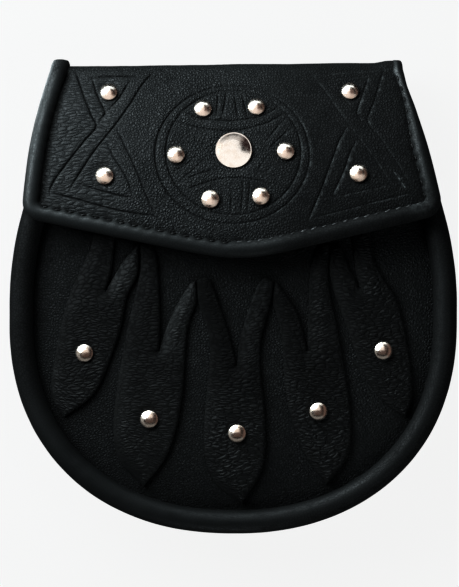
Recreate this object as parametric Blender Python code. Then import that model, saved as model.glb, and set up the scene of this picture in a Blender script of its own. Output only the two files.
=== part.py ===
"""Closed sporran pouch in black leather, lying on its back with its front upwards.

Metres, +Z up. Seen from the front, X runs to the right and Y to the top of the pouch.
The floor is Z = 0, and the origin is on it, under the middle of the pouch.
"""
import math
from collections import namedtuple

import bmesh
import bpy
from mathutils import Vector
from mathutils.geometry import delaunay_2d_cdt

MM = 0.001
GAP = 0.3 * MM                      # left between pieces that touch
SEAM_GAP = 0.45 * MM                # left where an edge stands on a slanting surface
ROLL_GAP = 0.5 * MM                 # left between the two rolls
OUTLINE_POINTS = 50                 # round the body, from mouth corner to mouth corner

# Outline of the body: a U with leaning shoulders, measured over its roll
BODY_HALF_WIDTH = 94.6 * MM
BODY_BOTTOM_Y = -101.5 * MM
WIDEST_LOW_Y = -12.1 * MM           # the round bottom starts here
WIDEST_HIGH_Y = -4.4 * MM           # the shoulders start here
ROUNDNESS = 2.2                     # exponent of the round bottom, 2 is an ellipse
SHOULDER_RADIUS = 143 * MM
SHOULDER_LEAN = math.radians(14.8)
MOUTH_Y = 86.4 * MM

# Body roll and the panels that it joins
BODY_ROLL_RADIUS = 5.0 * MM
RIM_HEIGHT = 30.0 * MM              # highest point of the roll's centre line
RIM_END_DROP = 2.8 * MM             # how much lower it is at the bottom
RIM_BLEND = 2.0 * MM
PANEL_THICKNESS = 2.0 * MM
PANEL_SINK = 1.0 * MM               # the front panel's edge under the roll's centre line
PANEL_BULGE = 8.0 * MM
PANEL_TOP_Y = 84.9 * MM
PANEL_CENTRE_Y = -5 * MM
GUSSET_THICKNESS = 2.0 * MM
GUSSET_FOOT_INSET = 5.6 * MM
GUSSET_TOP_Y = 79.4 * MM
GUSSET_SWELL = 0.8 * MM
BACK_INSET = 3.4 * MM
BACK_TOP_Y = 88.4 * MM
BACK_RISE = 7.6 * MM                # underside of the back panel over the floor, upper part
BACK_RISE_BOTTOM = 5.2 * MM
REST_Y = -42 * MM                   # middle of the patch that lies flat on the floor
REST_FLAT = (36 * MM, 24 * MM)
REST_REACH = (74 * MM, 46 * MM)

# Flap: a lip under the back, an arc round the fold, and a parabola to the lower edge
FLAP_THICKNESS = 2.2 * MM
FLAP_ROLL_RADIUS = 3.6 * MM
FOLD_RADIUS = 8.0 * MM
FOLD_Y = 97.6 * MM                  # crest of the fold
FOLD_SLANT = 0.0110                 # rise of the crest towards the right
FLAP_LEAN = math.radians(30.5)      # slope where the front leaves the fold
FLAP_LEVEL_Y = 15.4 * MM            # the front is level here
FLAP_CROWN = 5.0 * MM
LIP_END_Y = 74.4 * MM
FLAP_HALF_WIDTH = 80 * MM           # of the leather at its lower edge
FLAP_TOP_X = (-78.7 * MM, 71.9 * MM)    # outside of the roll at the fold, left and right
FLAP_LOW_X = (-88.3 * MM, 87.1 * MM)    # outside of the roll at the lower corners
FLAP_BOW = (-1.6 * MM, 1.0 * MM)    # how far the sides bow outwards
FLAP_TIP = (2.2 * MM, 22.4 * MM)
FLAP_TIP_BLUNT = 10 * MM
FLAP_SLOPE_LEFT = 0.213
FLAP_SLOPE_RIGHT = 0.245
EAR_RISE_LEFT = 1.6 * MM            # how far the roll's ends stand off over the fold
EAR_RISE_RIGHT = -0.8 * MM
EAR_FADE_Y = 84.4 * MM
EAR_THIN_RIGHT = 0.5                # the roll thins towards its right end
EAR_THIN_DOWN = (0.1, 0.65)         # it does so between these shares of the way down
EAR_END = math.radians(-60)         # where the roll ends, round the fold

# Leather drops and the metal
LEAF_THICKNESS = 1.6 * MM
LEAF_STEP = 5 * MM                  # between points along a drop's outline
LEAF_MESH = 8.5 * MM                # between points inside it
RIVET_RADIUS = 3.7 * MM
RIVET_HEIGHT = 2.5 * MM
CAP_RADIUS = 7.75 * MM
CAP_HEIGHT = 3.9 * MM
STUD_RADIUS = 5.0 * MM
CAP_PLACE = (0.2 * MM, 60.2 * MM)

# Strap loops on the back
LOOP_X = 45 * MM
LOOP_Y = 41 * MM
LOOP_WIDTH = 18 * MM
LOOP_THICKNESS = 2.2 * MM
LOOP_CLEAR = 27 * MM                # flat stretch under the strap
LOOP_RAMP = 6 * MM
LOOP_SEAM = 6 * MM

BLACK = (0.016, 0.017, 0.018)
ROLL_BLACK = (0.022, 0.023, 0.024)
NICKEL = (0.78, 0.75, 0.71)

Leaf = namedtuple("Leaf", "name left_side tip right_side right_fork notch left_fork")
Rivet = namedtuple("Rivet", "name x y")

# Outlines of the drops in millimetres: down the left side to the tip, up the right side, and
# down and up the fork between the two arms. A curve runs through each side's points.
LEAVES = (
    Leaf(
        "leaf_1",
        left_side=((-58.3, 34.4), (-59.9, 20.4), (-70.1, -3.6), (-76.5, -33.6), (-76.3, -44.6)),
        tip=(-71.5, -52.1),
        right_side=((-57.8, -40.6), (-48.2, -17.2), (-44.6, -0.8), (-40.3, 8.4), (-39.9, 20.9)),
        right_fork=((-46.3, 13.6),),
        notch=(-53.8, 1.3),
        left_fork=((-50.9, 12.4), (-49.7, 34.4)),
    ),
    Leaf(
        "leaf_2",
        left_side=((-39.3, 20.9), (-39.3, 8.4), (-44.9, -17.1), (-50.1, -49.6), (-48.9, -68.6)),
        tip=(-37.9, -81.5),
        right_side=((-27.3, -66.6), (-21.7, -44.6), (-19.2, -15.1), (-15.6, -3.6), (-15.8, 5.6)),
        right_fork=((-19.2, 3.0), (-26.5, -10.6)),
        notch=(-31.2, -23.9),
        left_fork=((-30.7, -9.6), (-31.9, 13.4), (-34.8, 21.9)),
    ),
    Leaf(
        "leaf_3",
        left_side=((-15.3, 5.6), (-14.6, -3.6), (-9.8, -21.6), (-12.5, -61.6), (-7.9, -79.1)),
        tip=(3.7, -89.0),
        right_side=((12.7, -71.6), (13.3, -51.6), (11.2, -23.6), (15.7, -3.1), (16.9, 5.2)),
        right_fork=((13.7, 6.8), (10.0, 3.0), (3.9, -15.1)),
        notch=(1.4, -29.8),
        left_fork=((-2.5, -14.1), (-9.1, 4.6), (-12.5, 7.0)),
    ),
    Leaf(
        "leaf_4",
        left_side=((17.5, 5.0), (16.7, -3.6), (20.3, -17.1), (22.4, -43.6), (29.3, -65.6)),
        tip=(39.4, -80.4),
        right_side=((48.6, -67.6), (49.3, -47.6), (44.0, -15.1), (40.1, 4.4), (40.2, 20.9)),
        right_fork=((35.7, 19.9), (32.4, 9.4)),
        notch=(31.1, -23.6),
        left_fork=((26.9, -8.1), (19.1, 4.0)),
    ),
    Leaf(
        "leaf_5",
        left_side=((40.8, 20.9), (40.8, 6.7), (47.7, -13.8), (54.5, -32.7), (63.2, -45.4)),
        tip=(72.7, -52.0),
        right_side=((75.7, -42.1), (73.9, -23.6), (69.2, -3.3), (59.3, 14.4), (57.1, 34.4)),
        right_fork=((50.1, 34.4), (51.0, 13.4)),
        notch=(53.0, 3.0),
        left_fork=((50.1, 8.4), (44.7, 20.9)),
    ),
)

# Centres of the rivets in millimetres, seen from the front
LEAF_RIVETS = (
    Rivet("leaf_rivet_1", -62.6, -24.8),
    Rivet("leaf_rivet_2", -35.3, -52.5),
    Rivet("leaf_rivet_3", 1.6, -58.4),
    Rivet("leaf_rivet_4", 35.7, -49.2),
    Rivet("leaf_rivet_5", 63.1, -23.8),
)
FLAP_RIVETS = (
    Rivet("corner_rivet_1", -52.8, 85.5),
    Rivet("corner_rivet_2", 49.5, 85.9),
    Rivet("corner_rivet_3", -53.8, 49.4),
    Rivet("corner_rivet_4", 52.4, 50.4),
    Rivet("ring_rivet_1", -12.8, 78.2),
    Rivet("ring_rivet_2", 9.8, 79.0),
    Rivet("ring_rivet_3", 22.0, 59.8),
    Rivet("ring_rivet_4", 11.5, 40.7),
    Rivet("ring_rivet_5", -9.6, 39.5),
    Rivet("ring_rivet_6", -24.0, 58.3),
)


# ---------------------------------------------------------------- small helpers

def blend(a, b, t):
    """The value a fraction t of the way from a to b."""
    return a + (b - a) * t


def smooth_step(t):
    """0 below 0, 1 above 1, and a smooth rise between."""
    t = min(1.0, max(0.0, t))
    return t * t * (3 - 2 * t)


def smooth_min(a, b, width):
    """The smaller of two values, rounded off where they are closer than width."""
    near = max(width - abs(a - b), 0.0) / width
    return min(a, b) - near * near * width / 4


def resample(points, count):
    """Points at equal steps along a polyline, both ends included."""
    lengths = [0.0]
    for a, b in zip(points, points[1:]):
        lengths.append(lengths[-1] + (b - a).length)
    result = []
    leg = 0
    for i in range(count):
        target = lengths[-1] * i / (count - 1)
        while leg < len(points) - 2 and lengths[leg + 1] < target:
            leg += 1
        part = (target - lengths[leg]) / (lengths[leg + 1] - lengths[leg])
        result.append(points[leg].lerp(points[leg + 1], part))
    return result


def curve_through(points, step):
    """A Catmull-Rom curve through 2-D points, sampled about every step."""
    ends = [points[0] * 2 - points[1], *points, points[-1] * 2 - points[-2]]
    fine = []
    for before, a, b, after in zip(ends, ends[1:], ends[2:], ends[3:]):
        for i in range(12):
            t = i / 12
            bend = (before * 2 - a * 5 + b * 4 - after) * t * t
            twist = (a * 3 - before - b * 3 + after) * t * t * t
            fine.append((a * 2 + (b - before) * t + bend + twist) * 0.5)
    fine.append(points[-1])
    length = sum((b - a).length for a, b in zip(fine, fine[1:]))
    return resample(fine, max(2, round(length / step) + 1))


# ---------------------------------------------------------------- the shape, as heights over the floor

def flap_centre_y():
    """Middle of the fold's arc, seen from the side."""
    return FOLD_Y - FOLD_RADIUS


def lip_height():
    """The lip's middle height, just under the back panel."""
    return BACK_RISE - GAP - FLAP_THICKNESS / 2


def fold_point(turn):
    """(y, z) on the fold's arc; 0 is the crest and 90 degrees is the top."""
    y = flap_centre_y() + FOLD_RADIUS * math.cos(turn)
    z = lip_height() + FOLD_RADIUS + FOLD_RADIUS * math.sin(turn)
    return y, z


def flap_height(x, y):
    """Middle of the flap's leather over its front."""
    y -= FOLD_SLANT * x
    leave_y, leave_z = fold_point(math.pi / 2 - FLAP_LEAN)
    run = leave_y - FLAP_LEVEL_Y
    down = max(0.0, y - FLAP_LEVEL_Y) / run
    level_z = leave_z + run * math.tan(FLAP_LEAN) / 2
    crown = FLAP_CROWN * (x / FLAP_HALF_WIDTH) ** 2 * max(0.0, 1 - down)
    if y <= leave_y:
        return blend(level_z, leave_z, down * down) - crown
    reach = min(FOLD_RADIUS, y - flap_centre_y())
    return lip_height() + FOLD_RADIUS + math.sqrt(FOLD_RADIUS**2 - reach**2)


def rim_height(y):
    """Centre line of the body's roll: level low down, and just under the flap's roll higher up."""
    fall = (y - WIDEST_LOW_Y) / (BODY_BOTTOM_Y - WIDEST_LOW_Y)
    belly = RIM_HEIGHT - RIM_END_DROP * fall * fall
    stack = BODY_ROLL_RADIUS + FLAP_ROLL_RADIUS + ROLL_GAP
    return smooth_min(belly, flap_height(FLAP_HALF_WIDTH, y) - stack, RIM_BLEND)


def body_half_width(y):
    """Half the body's width over its roll, at one height up the front."""
    if y < WIDEST_LOW_Y:
        fall = min(1.0, (WIDEST_LOW_Y - y) / (WIDEST_LOW_Y - BODY_BOTTOM_Y))
        return BODY_HALF_WIDTH * (1 - fall**ROUNDNESS) ** (1 / ROUNDNESS)
    rise = max(0.0, y - WIDEST_HIGH_Y)
    arc_rise = SHOULDER_RADIUS * math.sin(SHOULDER_LEAN)
    if rise < arc_rise:
        return BODY_HALF_WIDTH - SHOULDER_RADIUS + math.sqrt(SHOULDER_RADIUS**2 - rise**2)
    arc_end = BODY_HALF_WIDTH - SHOULDER_RADIUS * (1 - math.cos(SHOULDER_LEAN))
    return arc_end - (rise - arc_rise) * math.tan(SHOULDER_LEAN)


def panel_inset():
    """How far the front panel's edge lies inside the body's outline."""
    return 2 * BODY_ROLL_RADIUS + GAP


def front_height(x, y):
    """Upper face of the front panel."""
    half = max(MM, body_half_width(y) - panel_inset())
    across = max(0.0, 1 - (x / half) ** 2)
    bottom = BODY_BOTTOM_Y + panel_inset()
    fall = max(0.0, (WIDEST_LOW_Y - y) / (WIDEST_LOW_Y - bottom))
    full = max(0.0, 1 - fall**4)
    return rim_height(y) - PANEL_SINK + PANEL_BULGE * across * full


def back_height(x, y):
    """Underside of the back panel: level, with a patch pressed flat against the floor."""
    rise = blend(BACK_RISE_BOTTOM, BACK_RISE, smooth_step((y - BODY_BOTTOM_Y) / -BODY_BOTTOM_Y))
    inner = math.hypot(x / REST_FLAT[0], (y - REST_Y) / REST_FLAT[1])
    outer = math.hypot(x / REST_REACH[0], (y - REST_Y) / REST_REACH[1])
    if inner <= 1:
        return 0.0
    return rise * smooth_step((inner - 1) / (inner - min(1.0, outer)))


# ---------------------------------------------------------------- outlines

def body_outline(inset, top_y, count):
    """The U of the body from the left mouth corner to the right, moved inwards by inset."""
    right = []
    for i in range(60):
        turn = math.pi / 2 * i / 60
        x = BODY_HALF_WIDTH * math.sin(turn) ** (2 / ROUNDNESS)
        drop = (WIDEST_LOW_Y - BODY_BOTTOM_Y) * math.cos(turn) ** (2 / ROUNDNESS)
        right.append(Vector((x, WIDEST_LOW_Y - drop)))
    for i in range(41):
        y = blend(WIDEST_LOW_Y, top_y + inset * math.tan(SHOULDER_LEAN), i / 40)
        right.append(Vector((body_half_width(y), y)))
    left = [Vector((-p.x, p.y)) for p in reversed(right[1:])]
    dense = left + right
    moved = []
    for i, p in enumerate(dense):
        along = dense[min(i + 1, len(dense) - 1)] - dense[max(i - 1, 0)]
        inward = Vector((-along.y, along.x)).normalized()
        moved.append(p + inward * inset)
    return resample(moved, count)


def flap_low_edge(x):
    """Lower edge of the flap's leather: a shallow V with a blunt tip."""
    side = x - FLAP_TIP[0]
    slope = FLAP_SLOPE_RIGHT if side > 0 else FLAP_SLOPE_LEFT
    return FLAP_TIP[1] + slope * (math.hypot(side, FLAP_TIP_BLUNT) - FLAP_TIP_BLUNT)


def roll_share(side, down):
    """The flap's roll, as a share of its full radius; side is 0 for left and 1 for right."""
    if side == 0:
        return 1.0
    start, end = EAR_THIN_DOWN
    return blend(EAR_THIN_RIGHT, 1.0, smooth_step((down - start) / (end - start)))


def flap_side_x(side, down):
    """Edge of the flap's leather, inside its roll, from the fold (0) to the lower corner (1)."""
    outside = blend(FLAP_TOP_X[side], FLAP_LOW_X[side], down)
    outside += FLAP_BOW[side] * math.sin(math.pi * down)
    inwards = 2 * FLAP_ROLL_RADIUS * roll_share(side, down) + GAP
    return outside - inwards if side else outside + inwards


def flap_front_point(across, down):
    """Middle of the flap's leather; both run from 0 to 1, to the right and from fold to edge."""
    x = blend(flap_side_x(0, down), flap_side_x(1, down), across)
    top_x = blend(flap_side_x(0, 0), flap_side_x(1, 0), across)
    low_x = blend(flap_side_x(0, 1), flap_side_x(1, 1), across)
    top_y = fold_point(math.pi / 2 - FLAP_LEAN)[0] + FOLD_SLANT * top_x
    y = blend(top_y, flap_low_edge(low_x), down)
    return Vector((x, y, flap_height(x, y)))


def leaf_outline(leaf, step):
    """Closed outline of a drop in metres: four curves that meet at the tip, notch and arm ends."""
    left, right, right_fork, left_fork = (
        [Vector(p) * MM for p in side]
        for side in (leaf.left_side, leaf.right_side, leaf.right_fork, leaf.left_fork)
    )
    tip = Vector(leaf.tip) * MM
    notch = Vector(leaf.notch) * MM
    outline = curve_through(left + [tip], step)
    outline += curve_through([tip] + right, step)[1:]
    outline += curve_through([right[-1]] + right_fork + [notch], step)[1:]
    outline += curve_through([notch] + left_fork, step)[1:]
    return outline


# ---------------------------------------------------------------- making objects

def material(name, color, roughness, metallic=0.0):
    """A plain surface with one colour."""
    made = bpy.data.materials.new(name)
    made.use_nodes = True
    surface = made.node_tree.nodes["Principled BSDF"]
    surface.inputs["Base Color"].default_value = (*color, 1.0)
    surface.inputs["Roughness"].default_value = roughness
    surface.inputs["Metallic"].default_value = metallic
    return made


def add_mesh(name, points, faces, surface):
    """An object made from points and faces, with its own material and even normals."""
    mesh = bpy.data.meshes.new(name)
    mesh.from_pydata([tuple(p) for p in points], [], faces)
    made = bmesh.new()
    made.from_mesh(mesh)
    bmesh.ops.recalc_face_normals(made, faces=made.faces)
    made.to_mesh(mesh)
    made.free()
    mesh.materials.append(surface)
    mesh.shade_smooth()
    thing = bpy.data.objects.new(name, mesh)
    bpy.context.collection.objects.link(thing)
    return thing


def add_leather(name, points, faces, thickness, surface):
    """A leather sheet: its middle surface, thickened evenly both ways."""
    sheet = add_mesh(name, points, faces, surface)
    wall = sheet.modifiers.new("leather", "SOLIDIFY")
    wall.thickness = thickness
    wall.offset = 0.0
    wall.use_even_offset = True
    return sheet


def add_roll(name, path, radius, surface, sides_level):
    """Rolled piping along a path of (place, share of the radius), closed at both ends."""
    curve = bpy.data.curves.new(name, "CURVE")
    curve.dimensions = "3D"
    curve.bevel_depth = radius
    curve.bevel_resolution = sides_level
    curve.use_fill_caps = True
    spline = curve.splines.new("POLY")
    spline.points.add(len(path) - 1)
    for point, (place, share) in zip(spline.points, path):
        point.co = (*place, 1.0)
        point.radius = share
    curve.materials.append(surface)
    roll = bpy.data.objects.new(name, curve)
    bpy.context.collection.objects.link(roll)
    return roll


def grid_faces(rows, columns):
    """Quads over points stored row by row."""
    faces = []
    for r in range(rows - 1):
        for c in range(columns - 1):
            a = r * columns + c
            faces.append((a, a + 1, a + columns + 1, a + columns))
    return faces


def ringed_sheet(rings, centre, height):
    """Points and faces of a sheet: closed rings from its outline inwards, and a centre."""
    points = []
    for ring in rings:
        points += [(p.x, p.y, height(p.x, p.y)) for p in ring]
    points.append((centre.x, centre.y, height(centre.x, centre.y)))
    count = len(rings[0])
    faces = []
    for level in range(len(rings) - 1):
        for i in range(count):
            a = level * count + i
            b = level * count + (i + 1) % count
            faces.append((a, b, b + count, a + count))
    last = (len(rings) - 1) * count
    for i in range(count):
        faces.append((last + i, last + (i + 1) % count, len(points) - 1))
    return points, faces


def inside(point, outline):
    """Whether a 2-D point lies inside a closed outline."""
    within = False
    for a, b in zip(outline, outline[1:] + outline[:1]):
        if (a.y > point.y) != (b.y > point.y):
            if point.x < a.x + (b.x - a.x) * (point.y - a.y) / (b.y - a.y):
                within = not within
    return within


def spots_inside(outline, spacing):
    """Staggered points inside a closed outline, clear of its edge."""
    left, bottom = (min(p[axis] for p in outline) for axis in (0, 1))
    right, top = (max(p[axis] for p in outline) for axis in (0, 1))
    spots = []
    for i in range(round((right - left) / spacing) + 1):
        for j in range(round((top - bottom) / spacing) + 1):
            spot = Vector((left + i * spacing, bottom + (j + 0.5 * (i % 2)) * spacing))
            clear = min((spot - p).length for p in outline)
            if inside(spot, outline) and clear > 0.45 * spacing:
                spots.append(spot)
    return spots


def add_dome(name, place, normal, radius, height, sides, rings, surface):
    """A domed head on a short upright edge, closed underneath, standing on place."""
    edge = 0.16 * height
    up = normal.normalized()
    turn = Vector((0, 0, 1)).rotation_difference(up)
    points = []
    for level in range(rings + 1):
        angle = math.pi / 2 * level / (rings + 1)
        points.append((radius * math.cos(angle), edge + (height - edge) * math.sin(angle)))
    profile = [(0.93 * radius, 0.0)] + points
    corners = []
    for reach, rise in profile:
        for i in range(sides):
            angle = 2 * math.pi * i / sides
            corners.append(Vector((reach * math.cos(angle), reach * math.sin(angle), rise)))
    corners.append(Vector((0, 0, height)))
    faces = []
    for ring in range(len(profile) - 1):
        for i in range(sides):
            a = ring * sides + i
            b = ring * sides + (i + 1) % sides
            faces.append((a, b, b + sides, a + sides))
    top = (len(profile) - 1) * sides
    for i in range(sides):
        faces.append((top + i, top + (i + 1) % sides, len(corners) - 1))
    faces.append(tuple(range(sides)))
    dome = add_mesh(name, corners, faces, surface)
    dome.rotation_mode = "QUATERNION"
    dome.rotation_quaternion = turn
    dome.location = place
    return dome


def surface_normal(height, x, y):
    """Upward normal of a height field."""
    step = 0.5 * MM
    slope_x = (height(x + step, y) - height(x - step, y)) / (2 * step)
    slope_y = (height(x, y + step) - height(x, y - step)) / (2 * step)
    return Vector((-slope_x, -slope_y, 1)).normalized()


# ---------------------------------------------------------------- the pieces

def make_body_roll():
    """Thick rolled piping round the front panel, from mouth corner to mouth corner."""
    path = body_outline(BODY_ROLL_RADIUS, MOUTH_Y, OUTLINE_POINTS)
    places = [((p.x, p.y, rim_height(p.y)), 1.0) for p in path]
    surface = material("body_roll_leather", ROLL_BLACK, 0.42)
    add_roll("body_roll", places, BODY_ROLL_RADIUS, surface, 4)


def make_front_panel():
    """Bulged front panel, its edge against the inside of the roll, its top edge free."""
    outline = body_outline(panel_inset(), PANEL_TOP_Y, OUTLINE_POINTS)
    outline += resample([outline[-1], outline[0]], 9)[1:-1]
    centre = Vector((0, PANEL_CENTRE_Y))
    rings = []
    for share in (1.0, 0.93, 0.8, 0.62, 0.42, 0.2):
        rings.append([centre.lerp(p, share) for p in outline])

    def middle(x, y):
        return front_height(x, y) - PANEL_THICKNESS / 2

    points, faces = ringed_sheet(rings, centre, middle)
    surface = material("front_panel_leather", BLACK, 0.55)
    add_leather("front_panel", points, faces, PANEL_THICKNESS, surface)


def make_gusset(levels=4):
    """Wall between back and front, standing on the back panel and ending under the roll."""
    top = body_outline(BODY_ROLL_RADIUS, GUSSET_TOP_Y, OUTLINE_POINTS)
    foot = body_outline(GUSSET_FOOT_INSET, GUSSET_TOP_Y, OUTLINE_POINTS)
    points = []
    for level in range(levels):
        share = level / (levels - 1)
        swell = GUSSET_SWELL * math.sin(math.pi * share)
        for low, high in zip(foot, top):
            spot = low.lerp(high, share)
            out = (spot - Vector((0, WIDEST_LOW_Y))).normalized() * swell
            low_z = back_height(spot.x, spot.y) + PANEL_THICKNESS + SEAM_GAP
            high_z = rim_height(spot.y) - BODY_ROLL_RADIUS - SEAM_GAP
            points.append((spot.x + out.x, spot.y + out.y, blend(low_z, high_z, share)))
    surface = material("gusset_leather", BLACK, 0.5)
    faces = grid_faces(levels, OUTLINE_POINTS)
    add_leather("gusset", points, faces, GUSSET_THICKNESS, surface)


def rest_ring(outline, centre, share):
    """The outline drawn in to the edge of the flat patch (share 0) or the end of its slope (1)."""
    reach_x = blend(REST_FLAT[0], REST_REACH[0], share)
    reach_y = blend(REST_FLAT[1], REST_REACH[1], share)
    ring = []
    for p in outline:
        side = p - centre
        ring.append(centre + side / math.hypot(side.x / reach_x, side.y / reach_y))
    return ring


def make_back_panel():
    """Back panel, level over the strap loops and pressed flat on the floor lower down."""
    outline = body_outline(BACK_INSET, BACK_TOP_Y, OUTLINE_POINTS)
    outline += resample([outline[-1], outline[0]], 11)[1:-1]
    centre = Vector((0, REST_Y))
    slope = [rest_ring(outline, centre, share) for share in (1.0, 0.75, 0.5, 0.25, 0.0)]
    between = [p.lerp(q, 0.5) for p, q in zip(outline, slope[0])]

    def middle(x, y):
        return back_height(x, y) + PANEL_THICKNESS / 2

    points, faces = ringed_sheet([outline, between, *slope], centre, middle)
    surface = material("back_panel_leather", BLACK, 0.6)
    add_leather("back_panel", points, faces, PANEL_THICKNESS, surface)


def flap_rows():
    """Rows of (across, point) functions from the lip's end over the fold to the lower edge."""
    rows = []
    for i in range(3):
        y = blend(LIP_END_Y, flap_centre_y(), i / 3)
        rows.append((y, lip_height()))
    for i in range(8):
        rows.append(fold_point(blend(-math.pi / 2, math.pi / 2 - FLAP_LEAN, i / 8)))
    return rows


def make_flap(columns=21, front_rows=13):
    """The flap's leather: lip, fold and front in one sheet."""
    points = []
    rows = flap_rows()
    for y, z in rows:
        for c in range(columns):
            x = blend(flap_side_x(0, 0), flap_side_x(1, 0), c / (columns - 1))
            points.append((x, y + FOLD_SLANT * x, z))
    for r in range(front_rows):
        for c in range(columns):
            points.append(flap_front_point(c / (columns - 1), r / (front_rows - 1)))
    faces = grid_faces(len(rows) + front_rows, columns)
    surface = material("flap_leather", BLACK, 0.55)
    add_leather("flap", points, faces, FLAP_THICKNESS, surface)


def ear_place(edge_x, out, turn, rise):
    """A point of the flap's roll on the fold, out from the sheet's edge and a little off the fold."""
    y, z = fold_point(turn)
    y += rise * math.cos(turn) + FOLD_SLANT * edge_x
    z += rise * math.sin(turn)
    return Vector((edge_x + out, y, z))


def flap_roll_path(steps=12, ear_steps=7, corner_steps=4):
    """Places and radius shares round the flap: left ear, left side, lower edge, right side, ear."""
    leave = math.pi / 2 - FLAP_LEAN
    low_steps = 2 * steps + 2
    edge = [(flap_front_point(0, i / steps), 1.0) for i in range(steps + 1)]
    edge += [(flap_front_point(i / low_steps, 1), 1.0) for i in range(1, low_steps)]
    for i in range(steps + 1):
        down = 1 - i / steps
        edge.append((flap_front_point(1, down), roll_share(1, down)))
    corners = (steps, steps + low_steps)
    path = []
    for i in range(ear_steps):
        turn = blend(EAR_END, leave, i / ear_steps)
        out = -FLAP_ROLL_RADIUS - GAP
        path.append((ear_place(flap_side_x(0, 0), out, turn, EAR_RISE_LEFT), 1.0))
    for i, (p, share) in enumerate(edge):
        before = edge[max(i - 1, 0)][0]
        after = edge[min(i + 1, len(edge) - 1)][0]
        up = surface_normal(flap_height, p.x, p.y)
        headings = [after - before]
        if i in corners:
            a = (p - before).normalized()
            b = (after - p).normalized()
            headings = [a.lerp(b, t / corner_steps) for t in range(corner_steps + 1)]
        ear = EAR_RISE_LEFT if p.x < 0 else EAR_RISE_RIGHT
        lift = ear * smooth_step((p.y - EAR_FADE_Y) / (FOLD_Y - EAR_FADE_Y))
        for heading in headings:
            out = heading.cross(up).normalized()
            path.append((p + out * (FLAP_ROLL_RADIUS * share + GAP) + up * lift, share))
    for i in range(ear_steps):
        turn = blend(leave, EAR_END, (i + 1) / ear_steps)
        out = FLAP_ROLL_RADIUS * EAR_THIN_RIGHT + GAP
        path.append((ear_place(flap_side_x(1, 0), out, turn, EAR_RISE_RIGHT), EAR_THIN_RIGHT))
    return path


def make_flap_roll():
    """Thinner rolled piping round the flap, its ends standing on the fold as ears."""
    surface = material("flap_roll_leather", ROLL_BLACK, 0.42)
    add_roll("flap_roll", flap_roll_path(), FLAP_ROLL_RADIUS, surface, 3)


def make_leaf(leaf):
    """A forked drop cut from thin leather, lying on the bulge of the front panel."""
    outline = leaf_outline(leaf, LEAF_STEP)
    spots = outline + spots_inside(outline, LEAF_MESH)
    count = len(outline)
    border = [(i, (i + 1) % count) for i in range(count)]
    flat, _, faces, _, _, _ = delaunay_2d_cdt(spots, border, [], 1, 1e-6)
    lift = GAP + LEAF_THICKNESS / 2
    points = [(p.x, p.y, front_height(p.x, p.y) + lift) for p in flat]
    surface = material(leaf.name + "_leather", BLACK, 0.5)
    add_leather(leaf.name, points, faces, LEAF_THICKNESS, surface)


def leaf_top(x, y):
    """Upper face of the drops."""
    return front_height(x, y) + GAP + LEAF_THICKNESS


def flap_top(x, y):
    """Upper face of the flap."""
    slope = surface_normal(flap_height, x, y)
    return flap_height(x, y) + FLAP_THICKNESS / 2 / slope.z


def make_rivets():
    """Domed rivets on the drops and on the flap."""
    for rivets, carrier in ((LEAF_RIVETS, leaf_top), (FLAP_RIVETS, flap_top)):
        for rivet in rivets:
            x = rivet.x * MM
            y = rivet.y * MM
            normal = surface_normal(carrier, x, y)
            place = Vector((x, y, carrier(x, y))) + normal * GAP
            surface = material(rivet.name + "_nickel", NICKEL, 0.15, 1.0)
            add_dome(rivet.name, place, normal, RIVET_RADIUS, RIVET_HEIGHT, 12, 2, surface)


def make_snap(sides=14):
    """Large domed cap on the flap, and the plain post under it down to the front panel."""
    x, y = CAP_PLACE
    normal = surface_normal(flap_top, x, y)
    place = Vector((x, y, flap_top(x, y))) + normal * GAP
    surface = material("snap_cap_nickel", NICKEL, 0.12, 1.0)
    add_dome("snap_cap", place, normal, CAP_RADIUS, CAP_HEIGHT, 24, 4, surface)
    low = []
    high = []
    for i in range(sides):
        angle = 2 * math.pi * i / sides
        px = x + STUD_RADIUS * math.cos(angle)
        py = y + STUD_RADIUS * math.sin(angle)
        slope = surface_normal(flap_height, px, py)
        under = flap_height(px, py) - FLAP_THICKNESS / 2 / slope.z
        low.append((px, py, front_height(px, py) + SEAM_GAP))
        high.append((px, py, under - SEAM_GAP))
    faces = [tuple(range(sides)), tuple(range(2 * sides - 1, sides - 1, -1))]
    for i in range(sides):
        j = (i + 1) % sides
        faces.append((i, j, j + sides, i + sides))
    add_mesh("snap_stud", low + high, faces, material("snap_stud_nickel", NICKEL, 0.25, 1.0))


def make_strap_loops(ramp_steps=6):
    """Two upright leather loops on the back, sewn at both ends and standing off between."""
    low = LOOP_THICKNESS / 2
    high = BACK_RISE - GAP - LOOP_THICKNESS / 2
    half_clear = LOOP_CLEAR / 2
    ramp_end = half_clear + LOOP_RAMP
    side = [(ramp_end + LOOP_SEAM, high)]
    for i in range(ramp_steps + 1):
        t = i / ramp_steps
        side.append((blend(ramp_end, half_clear, t), blend(high, low, smooth_step(t))))
    profile = side + [(-y, z) for y, z in reversed(side)]
    for name, x in (("strap_loop_left", -LOOP_X), ("strap_loop_right", LOOP_X)):
        points = []
        for y, z in profile:
            points.append((x - LOOP_WIDTH / 2, LOOP_Y + y, z))
            points.append((x + LOOP_WIDTH / 2, LOOP_Y + y, z))
        surface = material(name + "_leather", BLACK, 0.55)
        add_leather(name, points, grid_faces(len(profile), 2), LOOP_THICKNESS, surface)


def main():
    """Clear the scene and make every piece."""
    for thing in list(bpy.data.objects):
        bpy.data.objects.remove(thing, do_unlink=True)
    make_back_panel()
    make_gusset()
    make_body_roll()
    make_front_panel()
    for leaf in LEAVES:
        make_leaf(leaf)
    make_flap()
    make_flap_roll()
    make_rivets()
    make_snap()
    make_strap_loops()


main()
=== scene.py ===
"""Closed sporran pouch in black leather, dressed for a picture, lying on its back.

Metres, +Z up. Seen from the front, X runs to the right and Y to the top of the pouch.
Each piece's place is in its mesh, and its object stands at the origin.
"""
import math

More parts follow.
